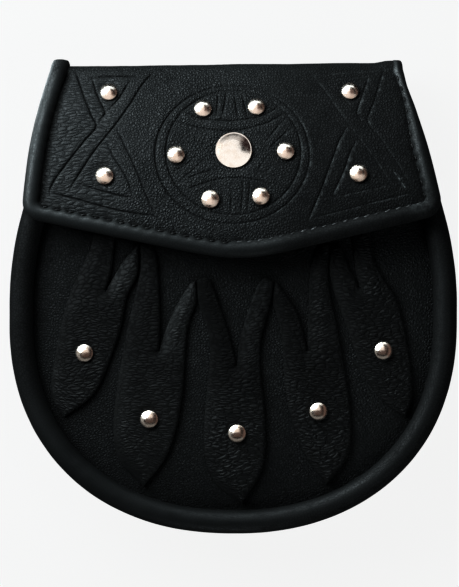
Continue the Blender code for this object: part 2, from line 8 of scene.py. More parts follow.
import bmesh
import bpy
import numpy as np
from bpy.props import FloatProperty, FloatVectorProperty, IntProperty, PointerProperty
from mathutils import Matrix, Vector, noise
from mathutils.geometry import delaunay_2d_cdt


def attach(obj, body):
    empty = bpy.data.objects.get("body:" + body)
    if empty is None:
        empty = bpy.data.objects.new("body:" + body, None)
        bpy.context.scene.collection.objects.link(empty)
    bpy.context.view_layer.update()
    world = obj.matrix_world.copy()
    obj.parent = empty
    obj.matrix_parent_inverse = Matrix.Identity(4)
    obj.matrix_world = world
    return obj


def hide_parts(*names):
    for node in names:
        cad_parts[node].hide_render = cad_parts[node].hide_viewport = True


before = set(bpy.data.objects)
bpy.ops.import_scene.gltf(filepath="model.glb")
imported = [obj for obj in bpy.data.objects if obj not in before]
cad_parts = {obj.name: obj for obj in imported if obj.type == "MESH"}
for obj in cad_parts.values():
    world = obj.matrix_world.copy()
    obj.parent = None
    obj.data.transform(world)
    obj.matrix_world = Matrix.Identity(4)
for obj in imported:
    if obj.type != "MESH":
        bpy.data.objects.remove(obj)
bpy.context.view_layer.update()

bl_info = {
    "name": "Sporran Pouch",
    "version": (1, 0, 0),
    "blender": (4, 5, 0),
    "location": "View3D > Sidebar > Sporran",
    "description": "Makes a closed leather sporran pouch with embossed flap, drops and rivets",
    "category": "Add Mesh",
}

MM = 0.001

# Outline of the body: a U with leaning shoulders, measured over its roll
BODY_HALF_WIDTH = 94.6 * MM
BODY_BOTTOM_Y = -101.5 * MM
WIDEST_LOW_Y = -12.1 * MM
WIDEST_HIGH_Y = -4.4 * MM
ROUNDNESS = 2.2
SHOULDER_RADIUS = 143 * MM
SHOULDER_LEAN = math.radians(14.8)
MOUTH_Y = 86.4 * MM
GAP = 0.3 * MM                      # between leathers that lie on each other

# Body roll and the panels that it joins
BODY_ROLL_RADIUS = 5.0 * MM
RIM_HEIGHT = 30.0 * MM
RIM_END_DROP = 2.8 * MM
RIM_BLEND = 2.0 * MM
ROLL_GAP = 0.5 * MM
PANEL_THICKNESS = 2.0 * MM
PANEL_SINK = 1.0 * MM
PANEL_BULGE = 8.0 * MM
PANEL_TOP_Y = 84.9 * MM
PANEL_CENTRE_Y = -5 * MM
GUSSET_FOOT_INSET = 5.6 * MM
GUSSET_TOP_Y = 79.4 * MM
GUSSET_SWELL = 0.8 * MM
BACK_INSET = 3.4 * MM
BACK_TOP_Y = 88.4 * MM
BACK_RISE = 7.6 * MM
BACK_RISE_BOTTOM = 5.2 * MM
REST_Y = -42 * MM
REST_FLAT = (36 * MM, 24 * MM)
REST_REACH = (74 * MM, 46 * MM)

# Flap: a lip under the back, an arc round the fold, and a parabola to the lower edge
FLAP_THICKNESS = 2.2 * MM
FLAP_ROLL_RADIUS = 3.6 * MM
FOLD_RADIUS = 8.0 * MM
FOLD_Y = 97.6 * MM
FOLD_SLANT = 0.0110
FLAP_LEAN = math.radians(30.5)
FLAP_LEVEL_Y = 15.4 * MM
FLAP_CROWN = 5.0 * MM
LIP_END_Y = 74.4 * MM
FLAP_HALF_WIDTH = 80 * MM
FLAP_TOP_X = (-78.7 * MM, 71.9 * MM)
FLAP_LOW_X = (-88.3 * MM, 87.1 * MM)
FLAP_BOW = (-1.6 * MM, 1.0 * MM)
FLAP_TIP = (2.2 * MM, 22.4 * MM)
FLAP_TIP_BLUNT = 10 * MM
FLAP_SLOPE_LEFT = 0.213
FLAP_SLOPE_RIGHT = 0.245
EAR_RISE_LEFT = 1.6 * MM
EAR_RISE_RIGHT = -0.8 * MM
EAR_FADE_Y = 84.4 * MM
EAR_THIN_RIGHT = 0.5
EAR_THIN_DOWN = (0.1, 0.65)
EAR_END = math.radians(-60)
EAR_LEAN_LEFT = 1.7 * MM            # sideways, and how the right ear is moved up and swells
EAR_LIFT_RIGHT = 1.2 * MM
EAR_SWELL_RIGHT = 0.18
EAR_TOP_Y = 100.2 * MM
LEAVE = math.pi / 2 - FLAP_LEAN     # turn at which the front leaves the fold
TUCK = 1.0 * MM                     # how far the flap's leather runs into its roll

LEAF_THICKNESS = 1.6 * MM
CAP_PLACE = (0.2, 60.2)
LOOP_X = 45 * MM
LOOP_Y = 41 * MM
LOOP_WIDTH = 18 * MM
LOOP_THICKNESS = 2.2 * MM
LOOP_CLEAR = 27 * MM
LOOP_RAMP = 6 * MM
LOOP_SEAM = 6 * MM
LOOP_BOX = ((-6.5, -1.9), (6.5, -1.9), (6.5, 1.9), (-6.5, 1.9), (-6.5, -1.9))    # its seam in mm
LOOP_STITCH = (3.4 * MM, 2.3 * MM)  # pitch and length
BODY_STITCH = (4.2 * MM, 2.8 * MM)
DOWN = Vector((0, 0, -1))
ROLL_LIGHTENED_SPOTS = ((78, 39), (72.3, 97))                    # corner of the flap's roll, lighter, and its right ear, with a painted highlight on the ear's left-facing side

# Drops as rows of x and y in millimetres: left side, tip, right side, right fork, notch, left fork
LEAVES = {
    "leaf_1": (
        (-58.3, 34.4, -59.9, 20.4, -70.1, -3.6, -76.5, -33.6, -76.3, -44.6), (-71.5, -52.1),
        (-57.8, -40.6, -48.2, -17.2, -44.6, -0.8, -40.3, 8.4, -39.9, 20.9), (-46.3, 13.6), (-53.8, 1.3),
        (-50.9, 12.4, -49.7, 34.4),
    ),
    "leaf_2": (
        (-39.3, 20.9, -39.3, 8.4, -44.9, -17.1, -50.1, -49.6, -48.9, -68.6), (-37.9, -81.5),
        (-27.3, -66.6, -21.7, -44.6, -19.2, -15.1, -15.6, -3.6, -15.8, 5.6), (-19.2, 3.0, -26.5, -10.6),
        (-31.2, -23.9), (-30.7, -9.6, -31.9, 13.4, -34.8, 21.9),
    ),
    "leaf_3": (
        (-15.3, 5.6, -14.6, -3.6, -9.8, -21.6, -12.5, -61.6, -7.9, -79.1), (3.7, -89.0),
        (12.7, -71.6, 13.3, -51.6, 11.2, -23.6, 15.7, -3.1, 16.9, 5.2),
        (13.7, 6.8, 10.0, 3.0, 3.9, -15.1), (1.4, -29.8), (-2.5, -14.1, -9.1, 4.6, -12.5, 7.0),
    ),
    "leaf_4": (
        (17.5, 5.0, 16.7, -3.6, 20.3, -17.1, 22.4, -43.6, 29.3, -65.6), (39.4, -80.4),
        (48.6, -67.6, 49.3, -47.6, 44.0, -15.1, 40.1, 4.4, 40.2, 20.9), (35.7, 19.9, 32.4, 9.4),
        (31.1, -23.6), (26.9, -8.1, 19.1, 4.0),
    ),
    "leaf_5": (
        (40.8, 20.9, 40.8, 6.7, 47.7, -13.8, 54.5, -32.7, 63.2, -45.4), (72.7, -52.0),
        (75.7, -42.1, 73.9, -23.6, 69.2, -3.3, 59.3, 14.4, 57.1, 34.4), (50.1, 34.4, 51.0, 13.4),
        (53.0, 3.0), (50.1, 8.4, 44.7, 20.9),
    ),
}

# A drop's painted shade over its upper part, how far its arm is spared it, how much coarser its grain
# is all over and low down, and how strong the painted highlight on its arm is
DROP_LOOKS = (
    (0.42, 0.8, 0.4, 1.0, 0.12), (0.55, 0.8, 0.2, 0.0, 0.12), (0.88, 0.35, 0.4, 1.3, 0.12),
    (0.66, 0.6, 0.8, 1.9, 0.0), (0.2, 0.8, 1.2, 2.6, 0.0),
)
DROP_STEP = 0.9 * MM
FULL_GRAIN = 1.8
RIM_STEPS = (0.35, 0.9)                                 # rows of points inside a drop's edge in mm
RIM_CLEAR = (0.3 * MM, 0.8 * MM)                        # and how clear of it they stay

# Centres of the rivets in millimetres, seen from the front
LEAF_RIVETS = ((-62.6, -24.8), (-35.3, -52.5), (1.6, -58.4), (35.7, -49.2), (63.1, -23.8))
CORNER_RIVETS = ((-52.8, 85.5), (49.5, 85.9), (-53.8, 49.4), (52.4, 50.4))
RING_RIVETS = ((-12.8, 78.2), (9.8, 79.0), (22.0, 59.8), (11.5, 40.7), (-9.6, 39.5), (-24.0, 58.3))

# Embossed lines as rows of x and y in millimetres: the two ribbons, and the knot inside the ring
RIBBON_LINES = (
    (-67.7, 95.0, -59.0, 95.2, -46.2, 95.2, -33.8, 94.5),
    (-67.5, 94.8, -63.3, 83.6, -60.1, 75.6, -57.8, 70.2, -62.3, 64.4, -68.5, 56.2, -73.8, 49.0, -76.3,
     44.4, -76.7, 42.3),
    (-33.8, 94.3, -38.8, 88.4, -43.7, 80.0, -49.8, 70.8, -53.9, 65.6, -59.3, 58.3, -63.3, 52.0, -67.0,
     46.0, -67.4, 44.8),
    (-60.1, 91.8, -51.2, 92.3, -41.4, 92.0),
    (-60.1, 91.8, -57.8, 84.5, -55.1, 78.7, -54.2, 76.1, -56.2, 72.6),
    (-43.7, 90.7, -48.0, 83.5, -52.3, 77.8),
    (-48.9, 69.1, -45.4, 61.7, -42.0, 54.9, -39.0, 47.7, -36.0, 40.5, -33.0, 33.8),
    (-52.6, 62.2, -50.0, 57.0, -46.1, 51.1, -43.5, 46.0, -41.8, 40.5),
    (-64.1, 45.8, -59.0, 44.1, -53.6, 42.6, -47.3, 40.9, -41.8, 40.1),
    (-76.2, 42.3, -74.1, 41.6, -66.1, 39.7, -55.6, 36.7, -45.1, 34.2, -33.0, 32.5),
    (33.6, 93.1, 49.8, 94.0, 63.9, 95.1),
    (64.3, 95.1, 62.9, 91.1, 61.5, 86.6, 59.6, 80.9, 57.8, 76.5, 56.8, 72.1, 61.7, 65.6, 65.8, 59.2,
     70.7, 51.5, 74.0, 45.2),
    (32.8, 93.8, 37.7, 87.5, 42.6, 80.0, 48.8, 70.8, 52.9, 65.2, 58.2, 57.9, 62.3, 51.5, 66.0, 46.0),
    (42.0, 90.2, 46.1, 83.9, 50.2, 78.2), (41.2, 91.1, 49.7, 91.5, 57.4, 92.2),
    (57.4, 92.4, 56.5, 88.8, 54.6, 83.5, 52.8, 78.6, 52.3, 76.0, 53.9, 73.0),
    (47.5, 69.5, 44.4, 63.9, 41.8, 57.0, 39.2, 50.2, 37.1, 44.3, 34.5, 38.4, 31.5, 31.3),
    (51.1, 63.0, 49.0, 59.1, 46.8, 52.7, 44.6, 47.7, 41.6, 41.7),
    (41.6, 40.1, 48.7, 41.8, 57.1, 43.5, 64.7, 45.4),
    (32.8, 31.3, 40.3, 33.4, 48.7, 35.5, 59.2, 38.4, 73.1, 41.8),
)
KNOT_LINES = (
    (-25.0, 73.0, -18.2, 70.8, -11.9, 69.2, -0.5, 68.4, 9.2, 70.1, 15.5, 72.3, 21.9, 76.0),
    (-22.0, 76.9, -14.8, 74.3, -8.5, 73.2, -0.5, 72.7, 7.1, 73.6, 12.1, 74.9, 16.8, 77.1, 20.2, 80.0),
    (-6.2, 85.7, -7.3, 74.2), (-2.6, 85.5, -4.9, 73.8), (0.3, 85.7, 2.0, 73.6), (3.5, 85.5, 6.0, 74.2),
    (-19.7, 43.2, -13.9, 45.5, -8.4, 47.2, -1.4, 48.3, 5.7, 48.0, 12.0, 46.8, 18.3, 44.0),
    (-22.2, 45.9, -17.2, 48.9, -11.8, 50.8, -6.4, 51.9),
    (7.0, 51.6, 12.4, 50.6, 17.9, 48.5, 22.4, 45.9), (-0.9, 43.8, -0.9, 33.7), (4.3, 46.8, 3.2, 33.7),
    (7.0, 46.8, 5.9, 33.7), (-4.7, 45.1, -4.3, 34.6), (21.4, 72.9, 17.6, 68.6, 14.0, 63.8),
    (24.7, 69.5, 20.5, 66.0, 15.8, 61.2), (-12.7, 55.7, -17.2, 51.4, -22.2, 46.8),
    (-15.6, 57.4, -19.8, 54.0, -25.6, 50.6), (13.3, 56.1, 11.6, 53.6, 9.7, 50.2),
    (16.6, 54.4, 14.5, 51.4, 12.4, 48.0), (-10.6, 67.7, -11.9, 65.6, -12.7, 62.5),
    (-14.0, 68.6, -15.6, 66.0, -16.5, 63.0),
)

# Seams: name, ends (across, down), shares of pitch, length and pucker, out and sunk in mm, thread
SEAMS = (
    ("left", (0, 0.02), (0, 0.97), 1.05, 1.05, 0.5, 0.95, 1.0, "waxed thread"),
    ("low_left", (0.015, 1), (None, 1), 1.1, 0.9, 1.8, 1.35, 0.2, "waxed thread"),
    # The lower right seam takes the lighter thread, a painted highlight.
    ("low_right", (None, 1), (0.985, 1), 0.94, 0.88, 0.3, 0.95, -0.3, "painted highlight thread"),
    ("right", (1, 0.97), (1, 0.06), 1.15, 0.9, 0.7, 0.95, 0.0, "waxed thread"),
)
LINE_DEPTHS = {          # how deep an embossed line is pressed, by number, where not in full
    0: 0.4, 6: 0.8, 7: 0.75, 8: 0.85, 9: 0.9, 10: 0.3, 11: 0.9, 12: 0.35, 13: 0.25, 14: 0.3,
    18: 0.4, 19: 0.5, 20: 0.7, 21: 0.8, 26: 0.6, 27: 0.55, 28: 0.5, 29: 0.6, 30: 0.65, 31: 0.65,
    32: 0.5, 33: 0.65, 34: 0.65, 35: 0.5, 36: 0.6, 37: 0.4, 38: 0.4, 39: 0.35, 40: 0.35,
}
LATER_DEPTHS = {11: 0.3, 12: 0.3}                       # and its second part, where that differs

# Points across a line and across the scuff in mm, and the steps between the flap's plain points
LINE_OFFSETS = (-0.75, -0.42, -0.2, 0.0, 0.2, 0.42, 0.75)
SCUFF_OFFSETS = (-0.4, -0.2, 0.0, 0.2, 0.4)
FLAP_STEP = 1.5 * MM

# Uneven leather: height, width and length in mm, and seed; for a roll also the turns of the noise
FLAP_WAVES = ((0.28, 22, 17, 3.1), (0.10, 7, 5, 5.7))
PANEL_WAVES = ((0.35, 24, 20, 1.9), (0.12, 8, 7, 7.3))
BODY_ROLL_WAVES = ((0.09, 3, 17, 1.6, 2.2), (0.05, 3, 5, 0.9, 4.4))
FLAP_ROLL_WAVES = ((0.05, 3, 11, 1.5, 1.3), (0.04, 2, 4, 1.0, 6.1))
RIVET_HOLLOW = (0.5, 1.6, 3.4)      # depth, width and distance of the dip round it in mm
CAP_HOLLOW = (0.6, 2.2, 7.4)
LEFT_SEAM_DIP = (0.9, 2.4)          # depth and width of the flap's hollows at its side seams in mm
RIGHT_SEAM_DIP = (0.5, 1.8)
FLAP_RIGHT = (-5, 40)               # where the flap passes over to its shaded side, across in mm
PULLED = (-38, -56)                 # and to its stretched side
PULLED_TOP = (6, -6)
LINE_LIGHT = (0.45, -0.15)          # the lit edge beside a line
ROLL_SIDES = 32
ROLL_END = ((0.0, 0.05), (0.42, 0.0), (0.62, -0.3), (0.85, -0.25))  # shares of radius out and along
SCUFF = ((67.6, 50.4), (69.3, 48.2), (72.4, 43.6))                  # rubbed spot right of the ribbon
RINGS = ((-0.4, 58.6, 32.4, 29.5), (0.05, 59.4, 28.35, 26.55))      # centre and both radii

# Leather and metal: how fine each kind of unevenness is, in ripples to a metre, and how far it reaches
DRIFT, DRIFT_REACH = 230.0, (0.0008, 0.0008, 0.0008)
SWAY, SWAY_REACH = 45.0, (0.0, 0.008, 0.0)
PATCHES = 55.0
MICRO_GRAIN = 2400.0
SOFT_HEAVES = 120.0
WORN_SPOTS = 420.0
DULL_SPOTS = 180.0
TARNISH, TARNISH_TONE = 260.0, (0.92, 0.88, 0.84)
RUBBING = 900.0
DENTS = 330.0
THREAD_STRANDS = 1400.0
THREAD_SOIL = 95.0


# ---------------------------------------------------------------- sizes and colours

def length(name, about, value):
    """A length that the user can change."""
    return FloatProperty(name=name, description=about, default=value, min=0.0, unit="LENGTH",
                         precision=5)


def share(name, about, value):
    """A plain number from 0 to 1."""
    return FloatProperty(name=name, description=about, default=value, min=0.0, max=1.0,
                         subtype="FACTOR")


def colour(name, about, value):
    """A colour that the user can change."""
    return FloatVectorProperty(name=name, description=about, default=value, size=3, min=0.0,
                               max=1.0, subtype="COLOR")


class SporranSizes(bpy.types.PropertyGroup):
    """Sizes of the leather work and the metal."""
    groove_depth: length("Groove depth", "Depth of the embossed lines", 0.5 * MM)
    groove_width: length("Groove width", "Half width of the embossed lines", 0.32 * MM)
    pebble: length("Pebble", "Width of one pebble of the grain", 1.2 * MM)
    wrinkle: length("Wrinkle", "Distance between the stretch wrinkles of the drops", 1.1 * MM)
    drop_crown: length("Drop crown", "How far the middle of a drop stands up", 0.35 * MM)
    stitch_pitch: length("Stitch pitch", "Distance between stitches", 4.9 * MM)
    stitch_length: length("Stitch length", "Length of one stitch", 3.3 * MM)
    thread_width: length("Thread width", "Thickness of the thread", 0.8 * MM)
    pucker: length("Pucker", "How deep the leather is drawn in at a stitch", 0.35 * MM)
    rivet_radius: length("Rivet radius", "Radius of the small rivets", 3.8 * MM)
    rivet_height: length("Rivet height", "Height of the small rivets", 2.4 * MM)
    cap_radius: length("Cap radius", "Radius of the snap's cap", 7.85 * MM)
    cap_height: length("Cap height", "Height of the snap's cap", 3.1 * MM)
    seed: IntProperty(name="Seed", description="Seed of everything uneven", default=7, min=0)


class SporranColours(bpy.types.PropertyGroup):
    """Colours of the leather, the metal and the floor."""
    leather: colour("Leather", "Colour of the grained leather", (0.0165, 0.0185, 0.0188))
    drops: colour("Drops", "Colour of the drops' leather", (0.0090, 0.0093, 0.0091))
    roll: colour("Roll", "Colour of the smooth leather of the rolls", (0.0200, 0.0217, 0.0218))
    thread: colour("Thread", "Colour of the waxed thread", (0.014, 0.014, 0.014))
    nickel: colour("Nickel", "Colour of the nickel", (0.86, 0.80, 0.74))
    floor: colour("Floor", "Colour of the floor", (0.95, 0.95, 0.95))
    sheen: share("Leather gloss", "Specular level of the leather", 0.5)


# ---------------------------------------------------------------- small helpers

def blend(a, b, t):
    """The value a fraction t of the way from a to b."""
    return a + (b - a) * t


def smooth_step(t):
    """0 below 0, 1 above 1, and a smooth rise between."""
    t = min(1.0, max(0.0, t))
    return t * t * (3 - 2 * t)


def rise(value, start, end):
    """0 at a start and 1 at an end, both in millimetres, and a smooth rise between."""
    return smooth_step((value / MM - start) / (end - start))


def near(distance, reach):
    """1 at no distance, falling evenly to 0 at a reach in millimetres."""
    return max(0.0, 1 - distance / MM / reach)


def bell(distance, width, at=0.0):
    """1 at a distance in millimetres, dying away over a width on both sides of it."""
    return math.exp(-((distance / MM - at) / width) ** 2)


def smooth_min(a, b, width):
    """The smaller of two values, rounded off where they are closer than width."""
    close = max(width - abs(a - b), 0.0) / width
    return min(a, b) - close * close * width / 4


def pairs(numbers):
    """Places in metres from a plain row of x and y in millimetres."""
    return [Vector(pair) * MM for pair in zip(numbers[::2], numbers[1::2])]


def total_length(line):
    """Length of a polyline."""
    return sum((b - a).length for a, b in zip(line, line[1:]))


def heading(line, i):
    """Which way a polyline runs at one of its points."""
    return line[min(i + 1, len(line) - 1)] - line[max(i - 1, 0)]


def left_of(along):
    """The direction to the left of a flat one."""
    return Vector((-along.y, along.x)).normalized()


def even_steps(line, count):
    """(leg, share of the leg) at equal steps along a polyline, both ends included."""
    lengths = [0.0]
    for a, b in zip(line, line[1:]):
        lengths.append(lengths[-1] + (b - a).length)
    leg = 0
    for i in range(count):
        target = lengths[-1] * i / (count - 1)
        while leg < len(line) - 2 and lengths[leg + 1] < target:
            leg += 1
        yield leg, (target - lengths[leg]) / max(1e-9, lengths[leg + 1] - lengths[leg])


def resample(points, count):
    """A number of points at equal steps along a polyline."""
    return [points[leg].lerp(points[leg + 1], t) for leg, t in even_steps(points, count)]


def spaced(line, step):
    """Points about every step along a polyline."""
    return resample(line, max(2, round(total_length(line) / step) + 1))


def curve_through(points, step):
    """A Catmull-Rom curve through points, sampled about every step."""
    ends = [points[0] * 2 - points[1], *points, points[-1] * 2 - points[-2]]
    fine = []
    for before, a, b, after in zip(ends, ends[1:], ends[2:], ends[3:]):
        for i in range(12):
            t = i / 12
            bend = (before * 2 - a * 5 + b * 4 - after) * t * t
            twist = (a * 3 - before - b * 3 + after) * t * t * t
            fine.append((a * 2 + (b - before) * t + bend + twist) * 0.5)
    return spaced(fine + [points[-1]], step)


def spread(spots, path, which=False):
    """Distance from each spot to the nearest place on a polyline, or on many of them.

    which adds the number of the leg that is nearest.
    """
    paths = path if isinstance(path[0], list) else [path]
    starts = np.array([tuple(p) for line in paths for p in line[:-1]])
    runs = np.array([tuple(b - a) for line in paths for a, b in zip(line, line[1:])])
    weight = np.maximum((runs**2).sum(1), 1e-18)
    spots = np.array([tuple(p) for p in spots])
    nearest = np.empty(len(spots))
    legs = np.empty(len(spots), int)
    for first in range(0, len(spots), 1000):
        away = spots[first:first + 1000, None, :] - starts[None]
        t = np.clip((away * runs).sum(2) / weight, 0, 1)
        squares = ((away - t[..., None] * runs)**2).sum(2)
        nearest[first:first + 1000] = np.sqrt(squares.min(1))
        legs[first:first + 1000] = squares.argmin(1)
    return (nearest, legs) if which else nearest


def within(spots, outline):
    """Whether each 2-D spot lies inside a closed outline."""
    spots = np.array([tuple(p) for p in spots])
    result = np.zeros(len(spots), bool)
    for a, b in zip(outline, outline[1:] + outline[:1]):
        if a.y != b.y:
            crosses = (a.y > spots[:, 1]) != (b.y > spots[:, 1])
            result ^= crosses & (spots[:, 0] < a.x + (b.x - a.x) * (spots[:, 1] - a.y) / (b.y - a.y))
    return result


def inside(spots, outline, clear):
    """The spots that lie inside a closed outline and clear of it."""
    keep = within(spots, outline) & (spread(spots, outline + outline[:1]) > clear)
    return [spot for spot, wanted in zip(spots, keep) if wanted]


def ripple(x, y, wide, high, seed):
    """Even noise between about -1 and 1, with its own grain size across and along."""
    return noise.noise(Vector((x / wide, y / high, seed)))


def waves(spot, rows):
    """Uneven height at a spot, from rows of height, width and length in millimetres, and seed."""
    return sum(height * MM * ripple(spot.x / MM, spot.y / MM, wide, high, seed)
               for height, wide, high, seed in rows)


def wobble(station, turn, rows):
    """Uneven radius round a roll, by the cosine and the sine of the turn."""
    lift = 0.0
    for part, (height, laps, wide, high, seed) in zip((math.cos(turn), math.sin(turn)), rows):
        lift += height * MM * ripple(station, laps * part, wide, high, seed)
    return lift


# ---------------------------------------------------------------- the shape, as heights over the floor

def flap_centre_y():
    """Middle of the fold's arc, seen from the side."""
    return FOLD_Y - FOLD_RADIUS


def lip_height():
    """The lip's middle height, just under the back panel."""
    return BACK_RISE - GAP - FLAP_THICKNESS / 2


def fold_point(turn):
    """(y, z) on the fold's arc; 0 is the crest and 90 degrees is the top."""
    y = flap_centre_y() + FOLD_RADIUS * math.cos(turn)
    z = lip_height() + FOLD_RADIUS + FOLD_RADIUS * math.sin(turn)
    return y, z


def flap_height(x, y):
    """Middle of the flap's leather over its front."""
    y -= FOLD_SLANT * x
    leave_y, leave_z = fold_point(LEAVE)
    run = leave_y - FLAP_LEVEL_Y
    down = max(0.0, y - FLAP_LEVEL_Y) / run
    level_z = leave_z + run * math.tan(FLAP_LEAN) / 2
    crown = FLAP_CROWN * (x / FLAP_HALF_WIDTH) ** 2 * max(0.0, 1 - down)
    if y <= leave_y:
        return blend(level_z, leave_z, down * down) - crown
    reach = min(FOLD_RADIUS, y - flap_centre_y())
    return lip_height() + FOLD_RADIUS + math.sqrt(FOLD_RADIUS**2 - reach**2)


def rim_height(y):
    """Centre line of the body's roll: level low down, just under the flap's roll higher up."""
    fall = (y - WIDEST_LOW_Y) / (BODY_BOTTOM_Y - WIDEST_LOW_Y)
    belly = RIM_HEIGHT - RIM_END_DROP * fall * fall
    stack = BODY_ROLL_RADIUS + FLAP_ROLL_RADIUS + ROLL_GAP
    return smooth_min(belly, flap_height(FLAP_HALF_WIDTH, y) - stack, RIM_BLEND)


def body_half_width(y):
    """Half the body's width over its roll, at one height up the front."""
    if y < WIDEST_LOW_Y:
        fall = min(1.0, (WIDEST_LOW_Y - y) / (WIDEST_LOW_Y - BODY_BOTTOM_Y))
        return BODY_HALF_WIDTH * (1 - fall**ROUNDNESS) ** (1 / ROUNDNESS)
    rise = max(0.0, y - WIDEST_HIGH_Y)
    arc_rise = SHOULDER_RADIUS * math.sin(SHOULDER_LEAN)
    if rise < arc_rise:
        return BODY_HALF_WIDTH - SHOULDER_RADIUS + math.sqrt(SHOULDER_RADIUS**2 - rise**2)
    arc_end = BODY_HALF_WIDTH - SHOULDER_RADIUS * (1 - math.cos(SHOULDER_LEAN))
    return arc_end - (rise - arc_rise) * math.tan(SHOULDER_LEAN)


def front_height(x, y):
    """Upper face of the front panel."""
    inset = 2 * BODY_ROLL_RADIUS + GAP
    half = max(MM, body_half_width(y) - inset)
    across = max(0.0, 1 - (x / half) ** 2)
    fall = max(0.0, (WIDEST_LOW_Y - y) / (WIDEST_LOW_Y - BODY_BOTTOM_Y - inset))
    full = max(0.0, 1 - fall**4)
    return rim_height(y) - PANEL_SINK + PANEL_BULGE * across * full


def back_height(x, y):
    """Underside of the back panel: level, with a patch pressed flat against the floor."""
    rise = blend(BACK_RISE_BOTTOM, BACK_RISE, smooth_step((y - BODY_BOTTOM_Y) / -BODY_BOTTOM_Y))
    inner = math.hypot(x / REST_FLAT[0], (y - REST_Y) / REST_FLAT[1])
    outer = math.hypot(x / REST_REACH[0], (y - REST_Y) / REST_REACH[1])
    if inner <= 1:
        return 0.0
    return rise * smooth_step((inner - 1) / (inner - min(1.0, outer)))


def leaf_top(x, y):
    """Upper face of the drops, without their crown."""
    return front_height(x, y) + GAP + LEAF_THICKNESS


def flap_top(x, y):
    """Upper face of the flap."""
    slope = surface_normal(flap_height, x, y)
    return flap_height(x, y) + FLAP_THICKNESS / 2 / slope.z


def surface_normal(height, x, y):
    """Upward normal of a height field."""
    step = 0.5 * MM
    slope_x = (height(x + step, y) - height(x - step, y)) / (2 * step)
    slope_y = (height(x, y + step) - height(x, y - step)) / (2 * step)
    return Vector((-slope_x, -slope_y, 1)).normalized()


# ---------------------------------------------------------------- outlines

def body_outline(inset, top_y, count):
    """The U of the body from the left mouth corner to the right, moved inwards by inset."""
    right = []
    for i in range(60):
        turn = math.pi / 2 * i / 60
        x = BODY_HALF_WIDTH * math.sin(turn) ** (2 / ROUNDNESS)
        drop = (WIDEST_LOW_Y - BODY_BOTTOM_Y) * math.cos(turn) ** (2 / ROUNDNESS)
        right.append(Vector((x, WIDEST_LOW_Y - drop)))
    for i in range(41):
        y = blend(WIDEST_LOW_Y, top_y + inset * math.tan(SHOULDER_LEAN), i / 40)
        right.append(Vector((body_half_width(y), y)))
    dense = [Vector((-p.x, p.y)) for p in reversed(right[1:])] + right
    return resample([p + left_of(heading(dense, i)) * inset for i, p in enumerate(dense)], count)


def flap_low_edge(x):
    """Lower edge of the flap's leather: a shallow V with a blunt tip."""
    side = x - FLAP_TIP[0]
    slope = FLAP_SLOPE_RIGHT if side > 0 else FLAP_SLOPE_LEFT
    return FLAP_TIP[1] + slope * (math.hypot(side, FLAP_TIP_BLUNT) - FLAP_TIP_BLUNT)


def roll_share(side, down):
    """The flap's roll, as a share of its full radius; side is 0 for left and 1 for right."""
    if side == 0:
        return 1.0
    start, end = EAR_THIN_DOWN
    return blend(EAR_THIN_RIGHT, 1.0, smooth_step((down - start) / (end - start)))


def flap_side_x(side, down):
    """Edge of the flap's leather, inside its roll, from the fold (0) to the lower corner (1)."""
    outside = blend(FLAP_TOP_X[side], FLAP_LOW_X[side], down)
    outside += FLAP_BOW[side] * math.sin(math.pi * down)
    inwards = 2 * FLAP_ROLL_RADIUS * roll_share(side, down) + GAP
    return outside - inwards if side else outside + inwards


def flap_front_point(across, down):
    """Middle of the flap's leather, to the right and from fold to edge, both from 0 to 1."""
    x = blend(flap_side_x(0, down), flap_side_x(1, down), across)
    top_x = blend(flap_side_x(0, 0), flap_side_x(1, 0), across)
    low_x = blend(flap_side_x(0, 1), flap_side_x(1, 1), across)
    y = blend(fold_point(LEAVE)[0] + FOLD_SLANT * top_x, flap_low_edge(low_x), down)
    return Vector((x, y, flap_height(x, y)))


def leaf_outline(sides):
    """Closed outline of a drop: four curves that meet at tip, notch and arm ends."""
    left, tip, right, right_fork, notch, left_fork = map(pairs, sides)
    outline = curve_through(left + tip, DROP_STEP)
    for curve in (tip + right, right[-1:] + right_fork + notch, notch + left_fork):
        outline += curve_through(curve, DROP_STEP)[1:]
    return outline


# ---------------------------------------------------------------- making pieces

def put(name, data):
    """A new object in the scene."""
    thing = bpy.data.objects.new(name, data)
    bpy.context.scene.collection.objects.link(thing)
    return thing


def set_marks(mesh, marks):
    """Named values on a mesh's points."""
    for name, values in marks.items():
        mesh.attributes.new(name, "FLOAT", "POINT").data.foreach_set("value", values)


def add_object(name, points, faces, finish, sharp=None, marks=None, weld=None):
    """An object from points and faces, with even normals and named values on its points."""
    mesh = bpy.data.meshes.new(name)
    mesh.from_pydata([tuple(p) for p in points], [], faces)
    made = bmesh.new()
    made.from_mesh(mesh)
    if weld:
        bmesh.ops.remove_doubles(made, verts=made.verts, dist=weld)
    bmesh.ops.recalc_face_normals(made, faces=made.faces)
    made.to_mesh(mesh)
    made.free()
    mesh.shade_smooth()
    if sharp:
        mesh.set_sharp_from_angle(angle=math.radians(sharp))
    set_marks(mesh, marks or {})
    if finish:
        mesh.materials.append(finish_named(finish))
    return put(name, mesh)


def seat(piece, slot, *nodes):
    """The piece rides on the pouch and stands for the plain solids."""
    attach(piece, "root")
    if nodes:
        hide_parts(*nodes)


def add_wall(piece, thickness, offset, bevel=0.0):
    """Leather thickness for a single sheet, with its cut edges rounded off."""
    wall = piece.modifiers.new("leather", "SOLIDIFY")
    wall.thickness = thickness
    wall.offset = offset
    wall.use_even_offset = True
    if bevel:
        edge = piece.modifiers.new("cut edge", "BEVEL")
        edge.width = bevel
        edge.segments = 2
        edge.limit_method = "ANGLE"
        edge.angle_limit = math.radians(50)


